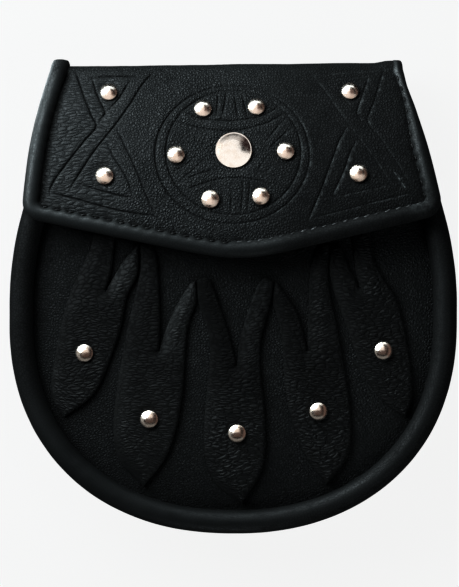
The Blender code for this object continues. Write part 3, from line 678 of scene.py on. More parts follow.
def add_sheet(name, tops, bottoms, faces, finish, sharp, marks):
    """A closed sheet between matching upper and lower points, with the same values on both."""
    count = len(tops)
    seen = {(a, b) for face in faces for a, b in zip(face, face[1:] + face[:1])}
    walls = [(b, a, a + count, b + count) for a, b in seen if (b, a) not in seen]
    under = [tuple(i + count for i in reversed(face)) for face in faces]
    return add_object(name, tops + bottoms, [tuple(f) for f in faces] + under + sorted(walls), finish,
                      sharp, {mark: values * 2 for mark, values in marks.items()})


def quads(rows, columns, closed=False):
    """Faces over points stored row by row, whose rows may be rings."""
    faces = []
    for r in range(rows - 1):
        for c in range(columns if closed else columns - 1):
            a, b = r * columns + c, r * columns + (c + 1) % columns
            faces.append((a, b, b + columns, a + columns))
    return faces


def ringed_faces(levels, count):
    """Faces over closed rings of points from the outline inwards, and a centre point."""
    last = (levels - 1) * count
    return quads(levels, count, True) + [
        (last + i, last + (i + 1) % count, last + count) for i in range(count)]


def staggered(outline, spacing, clear):
    """Staggered spots inside a closed outline, clear of it."""
    low, high = ([end(p[axis] for p in outline) for axis in (0, 1)] for end in (min, max))
    across, along = (round((b - a) / spacing) + 1 for a, b in zip(low, high))
    spots = [Vector((low[0] + i * spacing, low[1] + (j + 0.5 * (i % 2)) * spacing))
             for i in range(across) for j in range(along)]
    return inside(spots, outline, clear)


def filled(outline, spots):
    """Triangles over an outline and the spots inside it, all counter-clockwise."""
    count = len(outline)
    border = [(i, (i + 1) % count) for i in range(count)]
    flat, _, faces, _, _, _ = delaunay_2d_cdt(outline + spots, border, [], 1, 1e-7)
    return flat, [list(face) for face in faces]


def tube(name, path, radius, finish, squeeze):
    """Rolled piping along (place, share, inward) stations, closed at both ends.

    squeeze gives the change of radius at a station and an angle from the inward side.
    """
    places = [place for place, _, _ in path]
    rows = []
    for i, (place, size, inward) in enumerate(path):
        along = heading(places, i).normalized()
        side = (inward - along * inward.dot(along)).normalized()
        rows.append((place, size * radius, side, along.cross(side), along))
    stations = [(out, 0, shift) for out, shift in ROLL_END]
    stations += [(1.0, i, None) for i in range(len(rows))]
    stations += [(out, -1, -shift) for out, shift in reversed(ROLL_END)]
    points = []
    for out, number, shift in stations:
        place, size, side, up, along = rows[number]
        for k in range(ROLL_SIDES):
            turn = 2 * math.pi * k / ROLL_SIDES
            spoke = side * math.cos(turn) + up * math.sin(turn)
            reach = size * out + (squeeze(number, place, spoke, turn) if shift is None else 0.0)
            points.append(place + along * size * (shift or 0.0) + spoke * reach)
    return add_object(name, points, quads(len(stations), ROLL_SIDES, True), finish, weld=1e-6)


# ---------------------------------------------------------------- finishes

def add_node(tree, kind, inputs=None, **settings):
    """A node with its settings, and inputs given as values or as links."""
    made = tree.nodes.new(kind)
    for key, value in settings.items():
        setattr(made, key, value)
    for key, value in (inputs or {}).items():
        socket = made.inputs[key]
        if isinstance(value, bpy.types.NodeSocket):
            tree.links.new(value, socket)
        else:
            socket.default_value = value
    return made


def maths(tree, operation, *values):
    """The result of a sum on sockets and numbers."""
    return add_node(tree, "ShaderNodeMath", dict(enumerate(values)), operation=operation).outputs[0]


def times(tree, a, b):
    """The product of two values."""
    return maths(tree, "MULTIPLY", a, b)


def plus(tree, *values):
    """The sum of values."""
    result = values[0]
    for value in values[1:]:
        result = maths(tree, "ADD", result, value)
    return result


def vector_maths(tree, operation, a, b, second=1):
    """The result of a sum on vectors."""
    made = add_node(tree, "ShaderNodeVectorMath", {0: a, second: b}, operation=operation)
    return made.outputs[0]


def ramp(tree, value, low, high, to_low=0.0, to_high=1.0, kind="SMOOTHSTEP"):
    """A value's range carried over to another range."""
    inputs = {"Value": value, "From Min": low, "From Max": high, "To Min": to_low, "To Max": to_high}
    return add_node(tree, "ShaderNodeMapRange", inputs, interpolation_type=kind).outputs[0]


def mixed(tree, factor, low, high):
    """A colour between two colours."""
    made = add_node(tree, "ShaderNodeMix", data_type="RGBA")
    for place, value in ((0, factor), (6, low), (7, high)):
        if isinstance(value, bpy.types.NodeSocket):
            tree.links.new(value, made.inputs[place])
        else:
            made.inputs[place].default_value = (*value, 1.0) if place else value
    return made.outputs[2]


def finish_of(name):
    """A new material's tree and its object coordinates."""
    made = bpy.data.materials.new(name)
    made.use_nodes = True
    return made.node_tree, add_node(made.node_tree, "ShaderNodeTexCoord").outputs["Object"]


def coat(tree, tint, rough, relief, constants, strength=1.0, depth=MM):
    """The shader's colour, roughness and relief, and what is the same all over."""
    shader = tree.nodes["Principled BSDF"]
    bump = add_node(tree, "ShaderNodeBump", {"Height": relief, "Strength": strength, "Distance": depth})
    for label, value in (("Base Color", tint), ("Roughness", rough), ("Normal", bump.outputs[0])):
        tree.links.new(value, shader.inputs[label])
    for label, value in constants.items():
        shader.inputs[label].default_value = value


def dimmed(colour, factor):
    """A colour made darker or lighter."""
    return tuple(factor * c for c in colour)


def cloud(tree, where, scale, detail=2.0, rough=0.5, output="Fac"):
    """Noise between 0 and 1."""
    inputs = {"Vector": where, "Scale": scale, "Detail": detail, "Roughness": rough}
    return add_node(tree, "ShaderNodeTexNoise", inputs).outputs[output]


def stretched(tree, where, scale, turn):
    """Coordinates drawn out along one direction."""
    inputs = {"Vector": where, "Scale": scale, "Rotation": (0, 0, turn)}
    return add_node(tree, "ShaderNodeMapping", inputs).outputs[0]


def shifted(tree, base, where, scale, detail, reach):
    """Coordinates moved about by noise, as far as a reach in each direction."""
    drift = cloud(tree, where, scale, detail, 0.5, "Color")
    return vector_maths(tree, "ADD", base, vector_maths(tree, "MULTIPLY", drift, reach))


def cells(tree, where, size, crease_and_painted_shade=0.42):
    """Rounded pebbles: 0 in the creases between them and 1 on their tops."""
    inputs = {"Vector": where, "Scale": 1 / size, "Randomness": 0.9}
    made = add_node(tree, "ShaderNodeTexVoronoi", inputs, feature="DISTANCE_TO_EDGE")
    return maths(tree, "POWER", ramp(tree, made.outputs["Distance"], 0.0, crease_and_painted_shade, kind="LINEAR"), 0.62)


def mark(tree, name):
    """A value that the mesh carries on its points."""
    return add_node(tree, "ShaderNodeAttribute", attribute_name=name).outputs["Fac"]


def leather(name, tint, rough, grain=0.10, wrinkled=0.0, turn=0.0, fine=0.03, broad=0.25, fold=1.0,
            crack=0.3, wear_and_painted_highlight=(0.09, 0.096, 0.096)):
    """Pebbled leather, drawn into stretch wrinkles where it is pulled, rubbed along its edges, with
    painted shade and painted highlights where the mesh's marks ask for them.
    """
    sizes = bpy.context.scene.sporran_sizes
    tree, where = finish_of(name)
    bent = shifted(tree, where, where, DRIFT, 1.0, DRIFT_REACH)
    curved = shifted(tree, bent, where, SWAY, 0.0, SWAY_REACH)
    pebbles = cells(tree, bent, sizes.pebble)
    folds = cells(tree, stretched(tree, curved, (0.35, 1.0, 1.0), turn), fold * sizes.wrinkle, crack)
    pull = maths(tree, "MAXIMUM", mark(tree, "stretch"), wrinkled)
    surface = plus(tree, times(tree, folds, pull),
                   times(tree, pebbles, maths(tree, "SUBTRACT", 1.0, pull)))
    patchy = cloud(tree, where, PATCHES, 3.0)
    micro = cloud(tree, where, MICRO_GRAIN, 3.0, 0.65)
    soft = cloud(tree, stretched(tree, where, (1.0, 1.6, 1.0), turn), SOFT_HEAVES)
    depth = ramp(tree, patchy, 0.3, 0.75, 0.65 * grain, 1.2 * grain)
    depth = times(tree, depth, maths(tree, "MULTIPLY_ADD", pull, 0.8, 1.0))
    depth = times(tree, depth, plus(tree, mark(tree, "grain"), 1.0))
    relief = plus(tree, times(tree, surface, depth), times(tree, micro, fine), times(tree, soft, broad))
    # One mark adds real rubbing (the drops' rims, the scuff) and painted highlight (the lit side of the
    # embossed lines, the drops' arms, the right ear of the flap's roll), lighter and a little smoother.
    wear_and_painted_highlight_mask = times(tree, mark(tree, "wear_and_painted_highlight"), ramp(tree, cloud(tree, where, WORN_SPOTS, 3.0), 0.35, 0.7))
    # The next mark is painted shade: it turns the colour towards black and makes it rougher.
    painted_shade_mask = mark(tree, "crease_and_painted_shade")
    # Painted shade: the grain's valleys and wrinkles half as bright, their tops a little lighter.
    dark = mixed(tree, surface, dimmed(tint, 0.5), dimmed(tint, 1.15))
    lively = mixed(tree, ramp(tree, patchy, 0.3, 0.75), dimmed(tint, 0.72), tint)
    both = mixed(tree, times(tree, painted_shade_mask, 0.9), mixed(tree, 0.45, dark, lively), (0.0, 0.0, 0.0))
    dullness_and_painted_shade = ramp(tree, surface, 0.0, 0.7, rough + 0.28, rough)
    dullness_and_painted_shade = maths(tree, "MULTIPLY_ADD", painted_shade_mask, 0.35, dullness_and_painted_shade)
    dullness_and_painted_shade = maths(tree, "MULTIPLY_ADD", wear_and_painted_highlight_mask, -0.06, dullness_and_painted_shade)
    dullness_and_painted_shade = plus(tree, dullness_and_painted_shade, ramp(tree, cloud(tree, where, DULL_SPOTS, 3.0), 0.3, 0.7, -0.05, 0.05))
    coat(tree, mixed(tree, wear_and_painted_highlight_mask, both, wear_and_painted_highlight), dullness_and_painted_shade, relief,
         {"Specular IOR Level": bpy.context.scene.sporran_colours.sheen})


def nickel(name, tint, rough=0.26):
    """Plated nickel with faint tarnish and rubbing marks."""
    tree, where = finish_of(name)
    dim = ramp(tree, cloud(tree, where, TARNISH, 4.0, 0.6), 0.42, 0.72)
    tarnished = tuple(c * f for c, f in zip(tint, TARNISH_TONE))
    rubbed = cloud(tree, stretched(tree, where, (1.0, 3.0, 1.0), 0.6), RUBBING, 3.0)
    dents = plus(tree, times(tree, rubbed, 0.006), times(tree, cloud(tree, where, DENTS, 1.0), 0.10))
    coat(tree, mixed(tree, dim, tint, tarnished),
         ramp(tree, rubbed, 0.3, 0.8, rough - 0.05, rough + 0.12), dents, {"Metallic": 1.0})


def waxed_thread(name, tint):
    """Thick waxed thread: dark, a little shiny, with a twisted surface."""
    tree, where = finish_of(name)
    strand = cloud(tree, stretched(tree, where, (1.0, 3.5, 1.0), 0.7), THREAD_STRANDS, 1.0)
    clean = mixed(tree, ramp(tree, strand, 0.35, 0.65), dimmed(tint, 0.5), dimmed(tint, 1.6))
    soiled = ramp(tree, cloud(tree, where, THREAD_SOIL, 1.0), 0.5, 0.66, 0.0, 0.8)
    coat(tree, mixed(tree, soiled, clean, dimmed(tint, 0.1)), ramp(tree, strand, 0.3, 0.7, 0.55, 0.4),
         strand, {}, 0.8, 0.15 * MM)


def make_finishes():
    """Every finish of the pouch, made once."""
    tints = bpy.context.scene.sporran_colours
    body, roll = tuple(tints.leather), tuple(tints.roll)
    leather("panel leather", dimmed(body, 0.85), 0.55, grain=0.19, broad=0.2)
    leather("flap leather", body, 0.50, grain=0.20, turn=0.2, broad=0.22, fold=1.25,
            wear_and_painted_highlight=(0.24, 0.256, 0.256))
    leather("drop leather", tuple(tints.drops), 0.60, grain=0.20, wrinkled=0.92, turn=-0.12, fold=1.2,
            crack=0.4)
    leather("back leather", body, 0.62, grain=0.08)
    leather("roll leather", roll, 0.44, grain=0.008, fine=0.012, broad=0.15)
    leather("flap roll leather", dimmed(roll, 1.8), 0.42, grain=0.008, fine=0.012, broad=0.2)
    nickel("plated nickel", tuple(tints.nickel))
    waxed_thread("waxed thread", tuple(tints.thread))
    # A copy of the waxed thread eight times lighter: a painted highlight on the stitches of the lower
    # right seam.
    waxed_thread("painted highlight thread", dimmed(tints.thread, 8))


def finish_named(name):
    """One finish of the pouch; the first call makes them all."""
    if name not in bpy.data.materials:
        make_finishes()
    return bpy.data.materials[name]


# ---------------------------------------------------------------- repeated shapes by Geometry Nodes

def shape_tree(name, own, unevenness, lengths):
    """A Geometry Nodes tree that sets out one shape, with its named inputs, and its own lengths.

    Returns the tree, its input node and a function that sets out on points, facing a direction.
    """
    tree = bpy.data.node_groups.new(name, "GeometryNodeTree")
    tree.interface.new_socket("Geometry", in_out="INPUT", socket_type="NodeSocketGeometry")
    for label, kind, value in (("Shape", "Object", None), ("Finish", "Material", None), *own,
                               ("Unevenness", "Float", unevenness), ("Seed", "Int", 1)):
        socket = tree.interface.new_socket(label, in_out="INPUT", socket_type="NodeSocket" + kind)
        if value is not None:
            socket.default_value = value
    tree.interface.new_socket("Geometry", in_out="OUTPUT", socket_type="NodeSocketGeometry")
    given = tree.nodes.new("NodeGroupInput").outputs
    out = tree.nodes.new("NodeGroupOutput")

    def set_out(points, along):
        """One shape on each point, standing on its leather, made real."""
        up = add_node(tree, "GeometryNodeInputNamedAttribute", {"Name": "up"}, data_type="FLOAT_VECTOR")
        stand = add_node(tree, "FunctionNodeAlignRotationToVector", {"Vector": up.outputs[0]}, axis="Z")
        face = add_node(tree, "FunctionNodeAlignRotationToVector",
                        {"Rotation": stand.outputs[0], "Vector": along}, axis="X", pivot_axis="Z")
        shape = add_node(tree, "GeometryNodeObjectInfo", {"Object": given["Shape"]})
        drawn = add_node(tree, "FunctionNodeRandomValue", {"Seed": given["Seed"]},
                         data_type="FLOAT_VECTOR")
        centred = vector_maths(tree, "ADD", drawn.outputs[0], (-0.5, -0.5, -0.5))
        part = vector_maths(tree, "SCALE", centred, given["Unevenness"], "Scale")
        full = add_node(tree, "ShaderNodeCombineXYZ", {i: given[n] for i, n in enumerate(lengths)})
        size = vector_maths(tree, "MULTIPLY", vector_maths(tree, "ADD", part, (1, 1, 1)),
                            full.outputs[0])
        placed = add_node(tree, "GeometryNodeInstanceOnPoints", {
            "Points": points, "Instance": shape.outputs["Geometry"], "Rotation": face.outputs[0],
            "Scale": size})
        real = add_node(tree, "GeometryNodeRealizeInstances", {"Geometry": placed.outputs[0]})
        coated = add_node(tree, "GeometryNodeSetMaterial",
                          {"Geometry": real.outputs[0], "Material": given["Finish"]})
        tree.links.new(coated.outputs[0], out.inputs[0])

    return tree, given, set_out


def stitch_tree():
    """Stitches at even steps along a seam's line."""
    tree, given, set_out = shape_tree("stitches along a seam", (
        ("Count", "Int", 10), ("Stitch Length", "Float", 3.3 * MM),
        ("Thread Width", "Float", 0.9 * MM)), 0.5, ("Stitch Length", "Thread Width", "Thread Width"))
    line = add_node(tree, "GeometryNodeMeshToCurve", {"Mesh": given["Geometry"]})
    steps = add_node(tree, "GeometryNodeResampleCurve",
                     {"Curve": line.outputs[0], "Count": given["Count"]})
    set_out(steps.outputs[0], add_node(tree, "GeometryNodeInputTangent").outputs[0])
    return tree


def rivet_tree():
    """Rivets on chosen points of the leather, each turned its own way."""
    tree, given, set_out = shape_tree("rivets on leather", (
        ("Radius", "Float", 3.7 * MM), ("Height", "Float", 2.5 * MM)), 0.03,
        ("Radius", "Radius", "Height"))
    points = add_node(tree, "GeometryNodeMeshToPoints", {"Mesh": given["Geometry"]})
    turn = add_node(tree, "FunctionNodeRandomValue", {
        "Seed": given["Seed"], "Min": (-1, -1, 0), "Max": (1, 1, 0)}, data_type="FLOAT_VECTOR")
    set_out(points.outputs[0], turn.outputs[0])
    return tree


def spread_out(name, places, ups, tree, shape, edges, finish, **inputs):
    """A plain mesh of one shape set out on places by a Geometry Nodes tree."""
    mesh = bpy.data.meshes.new(name)
    mesh.from_pydata([tuple(p) for p in places], edges, [])
    layer = mesh.attributes.new("up", "FLOAT_VECTOR", "POINT")
    layer.data.foreach_set("vector", [c for up in ups for c in up])
    piece = put(name, mesh)
    maker = piece.modifiers.new("set out", "NODES")
    maker.node_group = tree
    inputs |= {"Shape": shape, "Finish": finish_named(finish)}
    sockets = {s.name: s.identifier for s in tree.interface.items_tree if s.in_out == "INPUT"}
    for label, value in inputs.items():
        maker[sockets[label.replace("_", " ")]] = value
    deps = bpy.context.evaluated_depsgraph_get()
    made = bpy.data.meshes.new_from_object(piece.evaluated_get(deps))
    if not made.polygons:
        raise RuntimeError(name + " came out empty")
    piece.modifiers.clear()
    piece.data = made
    made.name = name
    made.shade_smooth()
    bpy.data.objects.remove(shape)
    return piece


def lathe(name, profile, sides):
    """A turned shape from (radius, height) pairs, first and last on the axis."""
    turns = [2 * math.pi * i / sides for i in range(sides)]
    points = [(r * math.cos(turn), r * math.sin(turn), z) for r, z in profile for turn in turns]
    return add_object(name, points, quads(len(profile), sides, True), None, weld=1e-5)


def stitch_shape(sides=6):
    """One stitch of unit length along X: a bent strand whose ends dip into the leather."""
    half = ((-0.5, 0.35, -0.95), (-0.46, 0.45, -0.55), (-0.3, 0.5, -0.05))
    stations = (*half, (0.0, 0.52, 0.12), *((-x, reach, z) for x, reach, z in reversed(half)))
    turns = [2 * math.pi * k / sides for k in range(sides)]
    points = [(x, 0.7 * x + reach * math.cos(turn), z + reach * math.sin(turn))
              for x, reach, z in stations for turn in turns]
    ends = [tuple(range(sides)), tuple(reversed(range(len(points) - sides, len(points))))]
    return add_object("one stitch", points, ends + quads(len(stations), sides, True), None)


def sew(name, line, ups, pitch, length, thread="waxed thread", seed=1):
    """A row of stitches along a line, with the leather's normal at each of its points."""
    sizes = bpy.context.scene.sporran_sizes
    shape = stitch_shape()
    tree = bpy.data.node_groups.get("stitches along a seam") or stitch_tree()
    edges = [(i, i + 1) for i in range(len(line) - 1)]
    row = spread_out(name, line, ups, tree, shape, edges, thread,
                     Count=round(total_length(line) / pitch) + 1, Stitch_Length=length,
                     Thread_Width=sizes.thread_width, Seed=sizes.seed + seed)
    seat(row, "grained_leather")


# ---------------------------------------------------------------- the flap

def flap_place(x, t):
    """Middle of the flap and its outward normal; t runs up from the fold's lower end, over it."""
    underneath = FOLD_RADIUS * (LEAVE + math.pi / 2)
    if t <= 0:
        y = fold_point(LEAVE)[0] + FOLD_SLANT * x + t
        return Vector((x, y, flap_height(x, y))), surface_normal(flap_height, x, y)
    if t < underneath:
        turn = LEAVE - t / FOLD_RADIUS
        y, z = fold_point(turn)
        return Vector((x, y + FOLD_SLANT * x, z)), Vector((0, math.cos(turn), math.sin(turn)))
    y = flap_centre_y() - (t - underneath) + FOLD_SLANT * x
    return Vector((x, y, lip_height())), DOWN


def flap_flat(x, y):
    """(x, t) on the flat flap from a place seen from the front."""
    over = y - FOLD_SLANT * x - fold_point(LEAVE)[0]
    if over <= 0:
        return Vector((x, over))
    reach = min(1.0, (y - FOLD_SLANT * x - flap_centre_y()) / FOLD_RADIUS)
    return Vector((x, FOLD_RADIUS * (LEAVE - math.acos(reach))))


def flap_outline():
    """Closed outline of the flap's flat leather, tucked into its roll."""
    left = flap_side_x(0, 1) - TUCK
    right = flap_side_x(1, 1) + TUCK
    low = []
    for i in range(101):
        x = blend(left, right, i / 100)
        low.append(flap_flat(x, flap_low_edge(x) - TUCK))
    sides = []
    end = FOLD_RADIUS * (LEAVE + math.pi / 2) + flap_centre_y() - LIP_END_Y
    for side, tuck in ((1, TUCK), (0, -TUCK)):
        line = []
        for i in range(31):
            down = 1 - i / 30
            p = flap_front_point(side, down)
            line.append(flap_flat(p.x + tuck, p.y - TUCK * down))
        sides.append(line + [Vector((line[-1].x, end))])
    right, left = sides
    around = (low, right, [right[-1], left[-1]], left[::-1])
    return [p for line in around for p in spaced(line, FLAP_STEP)[:-1]]


def emboss_lines(step=1.0 * MM):
    """Every embossed line on the flat flap."""
    lines = []
    for line in RIBBON_LINES + KNOT_LINES:
        flat = [flap_flat(x * MM, y * MM) for x, y in zip(line[::2], line[1::2])]
        lines.append(curve_through(flat, step) if len(flat) > 2 else resample(flat, 12))
    for x, y, wide, high in RINGS:
        turns = [2 * math.pi * i / 180 for i in range(181)]
        lines.append([flap_flat((x + wide * math.cos(turn)) * MM, (y + high * math.sin(turn)) * MM)
                      for turn in turns])
    return lines


def line_depths(lines):
    """How deep each leg of the embossed lines is pressed, as a share of the full depth."""
    depths = []
    for number, line in enumerate(lines):
        last = len(line) - 2
        first = LINE_DEPTHS.get(number, 1.0)
        then = LATER_DEPTHS.get(number, first)
        for i in range(last + 1):
            if number >= len(lines) - len(RINGS):
                depths.append(0.45 + 0.5 * abs(math.cos(2 * math.pi * i / last)))
            else:
                depth = blend(first, then, smooth_step((i / last - 0.42) / 0.1))
                depths.append(depth * blend(0.45, 1.0, smooth_step(min(i, last - i) / 4)))
    return np.array(depths)


def seam_rows(step=1.0 * MM):
    """The rows of stitches in the flap's edge: name, places, normals, pitch, length, pucker, thread."""
    sizes = bpy.context.scene.sporran_sizes
    tip = (FLAP_TIP[0] - flap_side_x(0, 1)) / (flap_side_x(1, 1) - flap_side_x(0, 1))
    rows = []
    for name, start, end, pitch, stitch, pucker, beyond, sunk, thread in SEAMS:
        ends = [(tip if across is None else across, down) for across, down in (start, end)]
        corners = [flap_front_point(*(blend(a, b, i / 90) for a, b in zip(*ends))) for i in range(91)]
        line = resample(corners, round(total_length(corners) / step))
        ups = [surface_normal(flap_height, p.x, p.y) for p in line]
        placed = []
        for i, (p, up) in enumerate(zip(line, ups)):
            out = heading(line, i).cross(up).normalized()
            placed.append(p + out * beyond * MM + up * (FLAP_THICKNESS / 2 + (0.15 - sunk) * MM))
        rows.append((name, placed, ups, pitch * sizes.stitch_pitch, stitch * sizes.stitch_length,
                     pucker * sizes.pucker, thread))
    return rows


def puckers():
    """Where the flap's edge is drawn in by a stitch, and how deep."""
    spots, depths = [], []
    for _, line, _, pitch, _, pucker, _ in seam_rows():
        row = spaced(line, pitch)
        spots += [tuple(p) for p in row]
        depths += [pucker] * len(row)
    return np.array(spots), np.array(depths)


def flap_spots(outline, lines, rubbed):
    """Spots inside the flap's outline, dense over its lines and its scuff."""
    spots = [p + left_of(heading(line, i)) * off * MM
             for line in lines for i, p in enumerate(line) for off in LINE_OFFSETS]
    spots += [p + Vector((off * MM, 0)) for p in rubbed for off in SCUFF_OFFSETS]
    spots = inside(spots, outline, 0.5 * MM)
    plain = staggered(outline, FLAP_STEP, 0.8 * MM)
    lip = FOLD_RADIUS * (LEAVE + 0.9)
    return spots + [p for i, (p, d) in enumerate(zip(plain, spread(plain, lines)))
                    if d > 0.95 * MM and (p.y < lip or i % 4 == 0)]


def make_flap():
    """The flap's leather in one sheet from its lip to its lower edge, with its embossing."""
    sizes = bpy.context.scene.sporran_sizes
    wide = sizes.groove_width / MM
    outline, lines = flap_outline(), emboss_lines()
    rubbed = curve_through([flap_flat(x * MM, y * MM) for x, y in SCUFF], 0.4 * MM)
    flat, faces = filled(outline, flap_spots(outline, lines, rubbed))
    beside, legs = spread(flat, lines, True)
    places = [flap_place(*p)[0] for p in flat]
    rows = seam_rows()
    (left_deep, left_wide), (right_deep, right_wide) = LEFT_SEAM_DIP, RIGHT_SEAM_DIP
    hollows = [(*p, *RIVET_HOLLOW) for p in CORNER_RIVETS + RING_RIVETS] + [(*CAP_PLACE, *CAP_HOLLOW)]
    tops, bottoms = [], []
    marks = {"stretch": [], "wear_and_painted_highlight": [], "crease_and_painted_shade": [], "grain": []}
    for p, d, pressed, lit, by, off, scraped in zip(
            flat, beside, line_depths(lines)[legs],
            spread(flat, [[p + Vector(LINE_LIGHT) * MM for p in line] for line in lines]),
            spread(places, rows[0][1]), spread(places, rows[3][1]), spread(flat, rubbed)):
        place, up = flap_place(p.x, p.y)
        spot = place + up * FLAP_THICKNESS / 2
        right = rise(p.x, *FLAP_RIGHT)
        pull = rise(p.x, *PULLED) * rise(p.y, *PULLED_TOP)
        depth = sizes.groove_depth * pressed * (1 - 0.3 * right)
        lift = depth * (0.16 * bell(d, 0.5, 1.1) - bell(d, wide))
        lift += MM * (rise(p.x, 60, 67) * rise(p.y, 0, 3) - left_deep * bell(by, left_wide)
                      - right_deep * bell(off, right_wide))
        lift += waves(p, (*FLAP_WAVES, (0.14 * pull, 9, 2.6, 8.3)))
        if p.y < 2 * MM:
            lift -= MM * sum(deep * bell(math.hypot(spot.x - x * MM, spot.y - y * MM), broad, at)
                             for x, y, deep, broad, at in hollows)
        tops.append(spot + up * lift)
        bottoms.append(place - up * FLAP_THICKNESS / 2)
        # Painted shade in the embossed lines (groove), a painted shadow band beside the left seam and a
        # fainter one beside the right (corner), and painted shade over the right side; edge is a
        # painted highlight on the lit side of each line, and scrape is real rubbing along the scuff.
        groove = pressed * bell(d, 1.1 * wide)
        edge = pressed * bell(lit, 0.36) * (1 - groove)
        scrape = bell(scraped, 0.22) * smooth_step(2 * ripple(p.x / MM, p.y / MM, 3, 1.4, 4.4) + 0.9)
        corner = math.exp(-(by / (3 * MM)) ** 4) + 0.4 * math.exp(-(off / (2.1 * MM)) ** 4)
        marks["stretch"].append(0.85 * pull)
        marks["wear_and_painted_highlight"].append(min(1.0, blend(0.085, 0.5, right) * edge + 3 * scrape))
        marks["crease_and_painted_shade"].append(min(1.0, 0.85 * groove * (1 - 0.9 * right) + corner + 0.6 * right))
        marks["grain"].append(0.65 * (1 - pull) * (1 - right) - 0.25 * pull + 0.25 * right)
    cloudy = np.array([tuple(p) for p in tops])
    for stitch, depth in zip(*puckers()):
        away = np.linalg.norm(cloudy - stitch, axis=1)
        for i in np.nonzero(away < 4 * MM)[0]:
            tops[i] -= Vector((0, 0, depth * bell(away[i], 1.5)))
            # Painted shade in the stitch holes.
            hole = 0.6 * depth / sizes.pucker * bell(away[i], 1.2)
            marks["crease_and_painted_shade"][i] = min(1.0, marks["crease_and_painted_shade"][i] + hole)
    piece = add_sheet("flap_leather", tops, bottoms, faces, "flap leather", 60, marks)
    seat(piece, "grained_leather", "flap")


# ---------------------------------------------------------------- the rolls

def ear_place(edge_x, out, turn, off):
    """A place of the flap's roll on the fold, out from the sheet's edge, a little off the fold."""
    y, z = fold_point(turn)
    y += off * math.cos(turn) + FOLD_SLANT * edge_x
    return Vector((edge_x + out, y, z + off * math.sin(turn)))


def flap_roll_path(steps=12, ear_steps=7, corner_steps=4):
    """(place, share of the radius, inward) round the flap from the left ear to the right."""
    low_steps = 2 * steps + 2
    edge = [(flap_front_point(0, i / steps), 1.0) for i in range(steps + 1)]
    edge += [(flap_front_point(i / low_steps, 1), 1.0) for i in range(1, low_steps)]
    edge += [(flap_front_point(1, 1 - i / steps), roll_share(1, 1 - i / steps))
             for i in range(steps + 1)]
    places = [p for p, _ in edge]
    ears = []
    kinds = ((0, 1.0, 1, EAR_RISE_LEFT), (1, EAR_THIN_RIGHT, -1, EAR_RISE_RIGHT))
    for side, size, facing, ear in kinds:
        out = -facing * (FLAP_ROLL_RADIUS * size + GAP)
        turns = [blend(EAR_END, LEAVE, i / ear_steps) for i in range(ear_steps)]
        ears.append([(ear_place(flap_side_x(side, 0), out, turn, ear), size, Vector((facing, 0, 0)))
                     for turn in turns])
    path = ears[0]
    for i, (p, size) in enumerate(edge):
        up = surface_normal(flap_height, p.x, p.y)
        headings = [heading(places, i)]
        if i in (steps, steps + low_steps):
            a = (p - places[i - 1]).normalized()
            b = (places[i + 1] - p).normalized()
            headings = [a.lerp(b, t / corner_steps) for t in range(corner_steps + 1)]
        ear = EAR_RISE_LEFT if p.x < 0 else EAR_RISE_RIGHT
        lift = ear * smooth_step((p.y - EAR_FADE_Y) / (FOLD_Y - EAR_FADE_Y))
        for along in headings:
            out = along.cross(up).normalized()
            path.append((p + out * (FLAP_ROLL_RADIUS * size + GAP) + up * lift, size, -out))
    return path + ears[1][::-1]


def fine_path(path, step):
    """The stations of a roll at even steps, its line smoothed a little."""
    places = [place for place, _, _ in path]
    fine = []
    for leg, t in even_steps(places, round(total_length(places) / step) + 1):
        a, b = path[leg], path[leg + 1]
        fine.append((a[0].lerp(b[0], t), blend(a[1], b[1], t), a[2].lerp(b[2], t)))
    for _ in range(3):
        fine[1:-1] = [((a[0] + b[0] * 2 + c[0]) / 4, *b[1:])
                      for a, b, c in zip(fine, fine[1:], fine[2:])]
    return fine


def stand_up(path):
    """The roll's stations with the ears leaning and swelling as they stand up on the fold."""
    result = []
    for place, size, inward in path:
        if place.x < 0:
            lean = min(1.2, max(0.0, (place.y - 84 * MM) / (16 * MM)) ** 3)
            moved = Vector((EAR_LEAN_LEFT * lean, 0, 0))
        else:
            up = rise(place.y, 87, 95)
            moved = Vector((0, EAR_LIFT_RIGHT * up, 0))
            size += EAR_SWELL_RIGHT * up
        result.append((place + moved, size, inward))
    return result


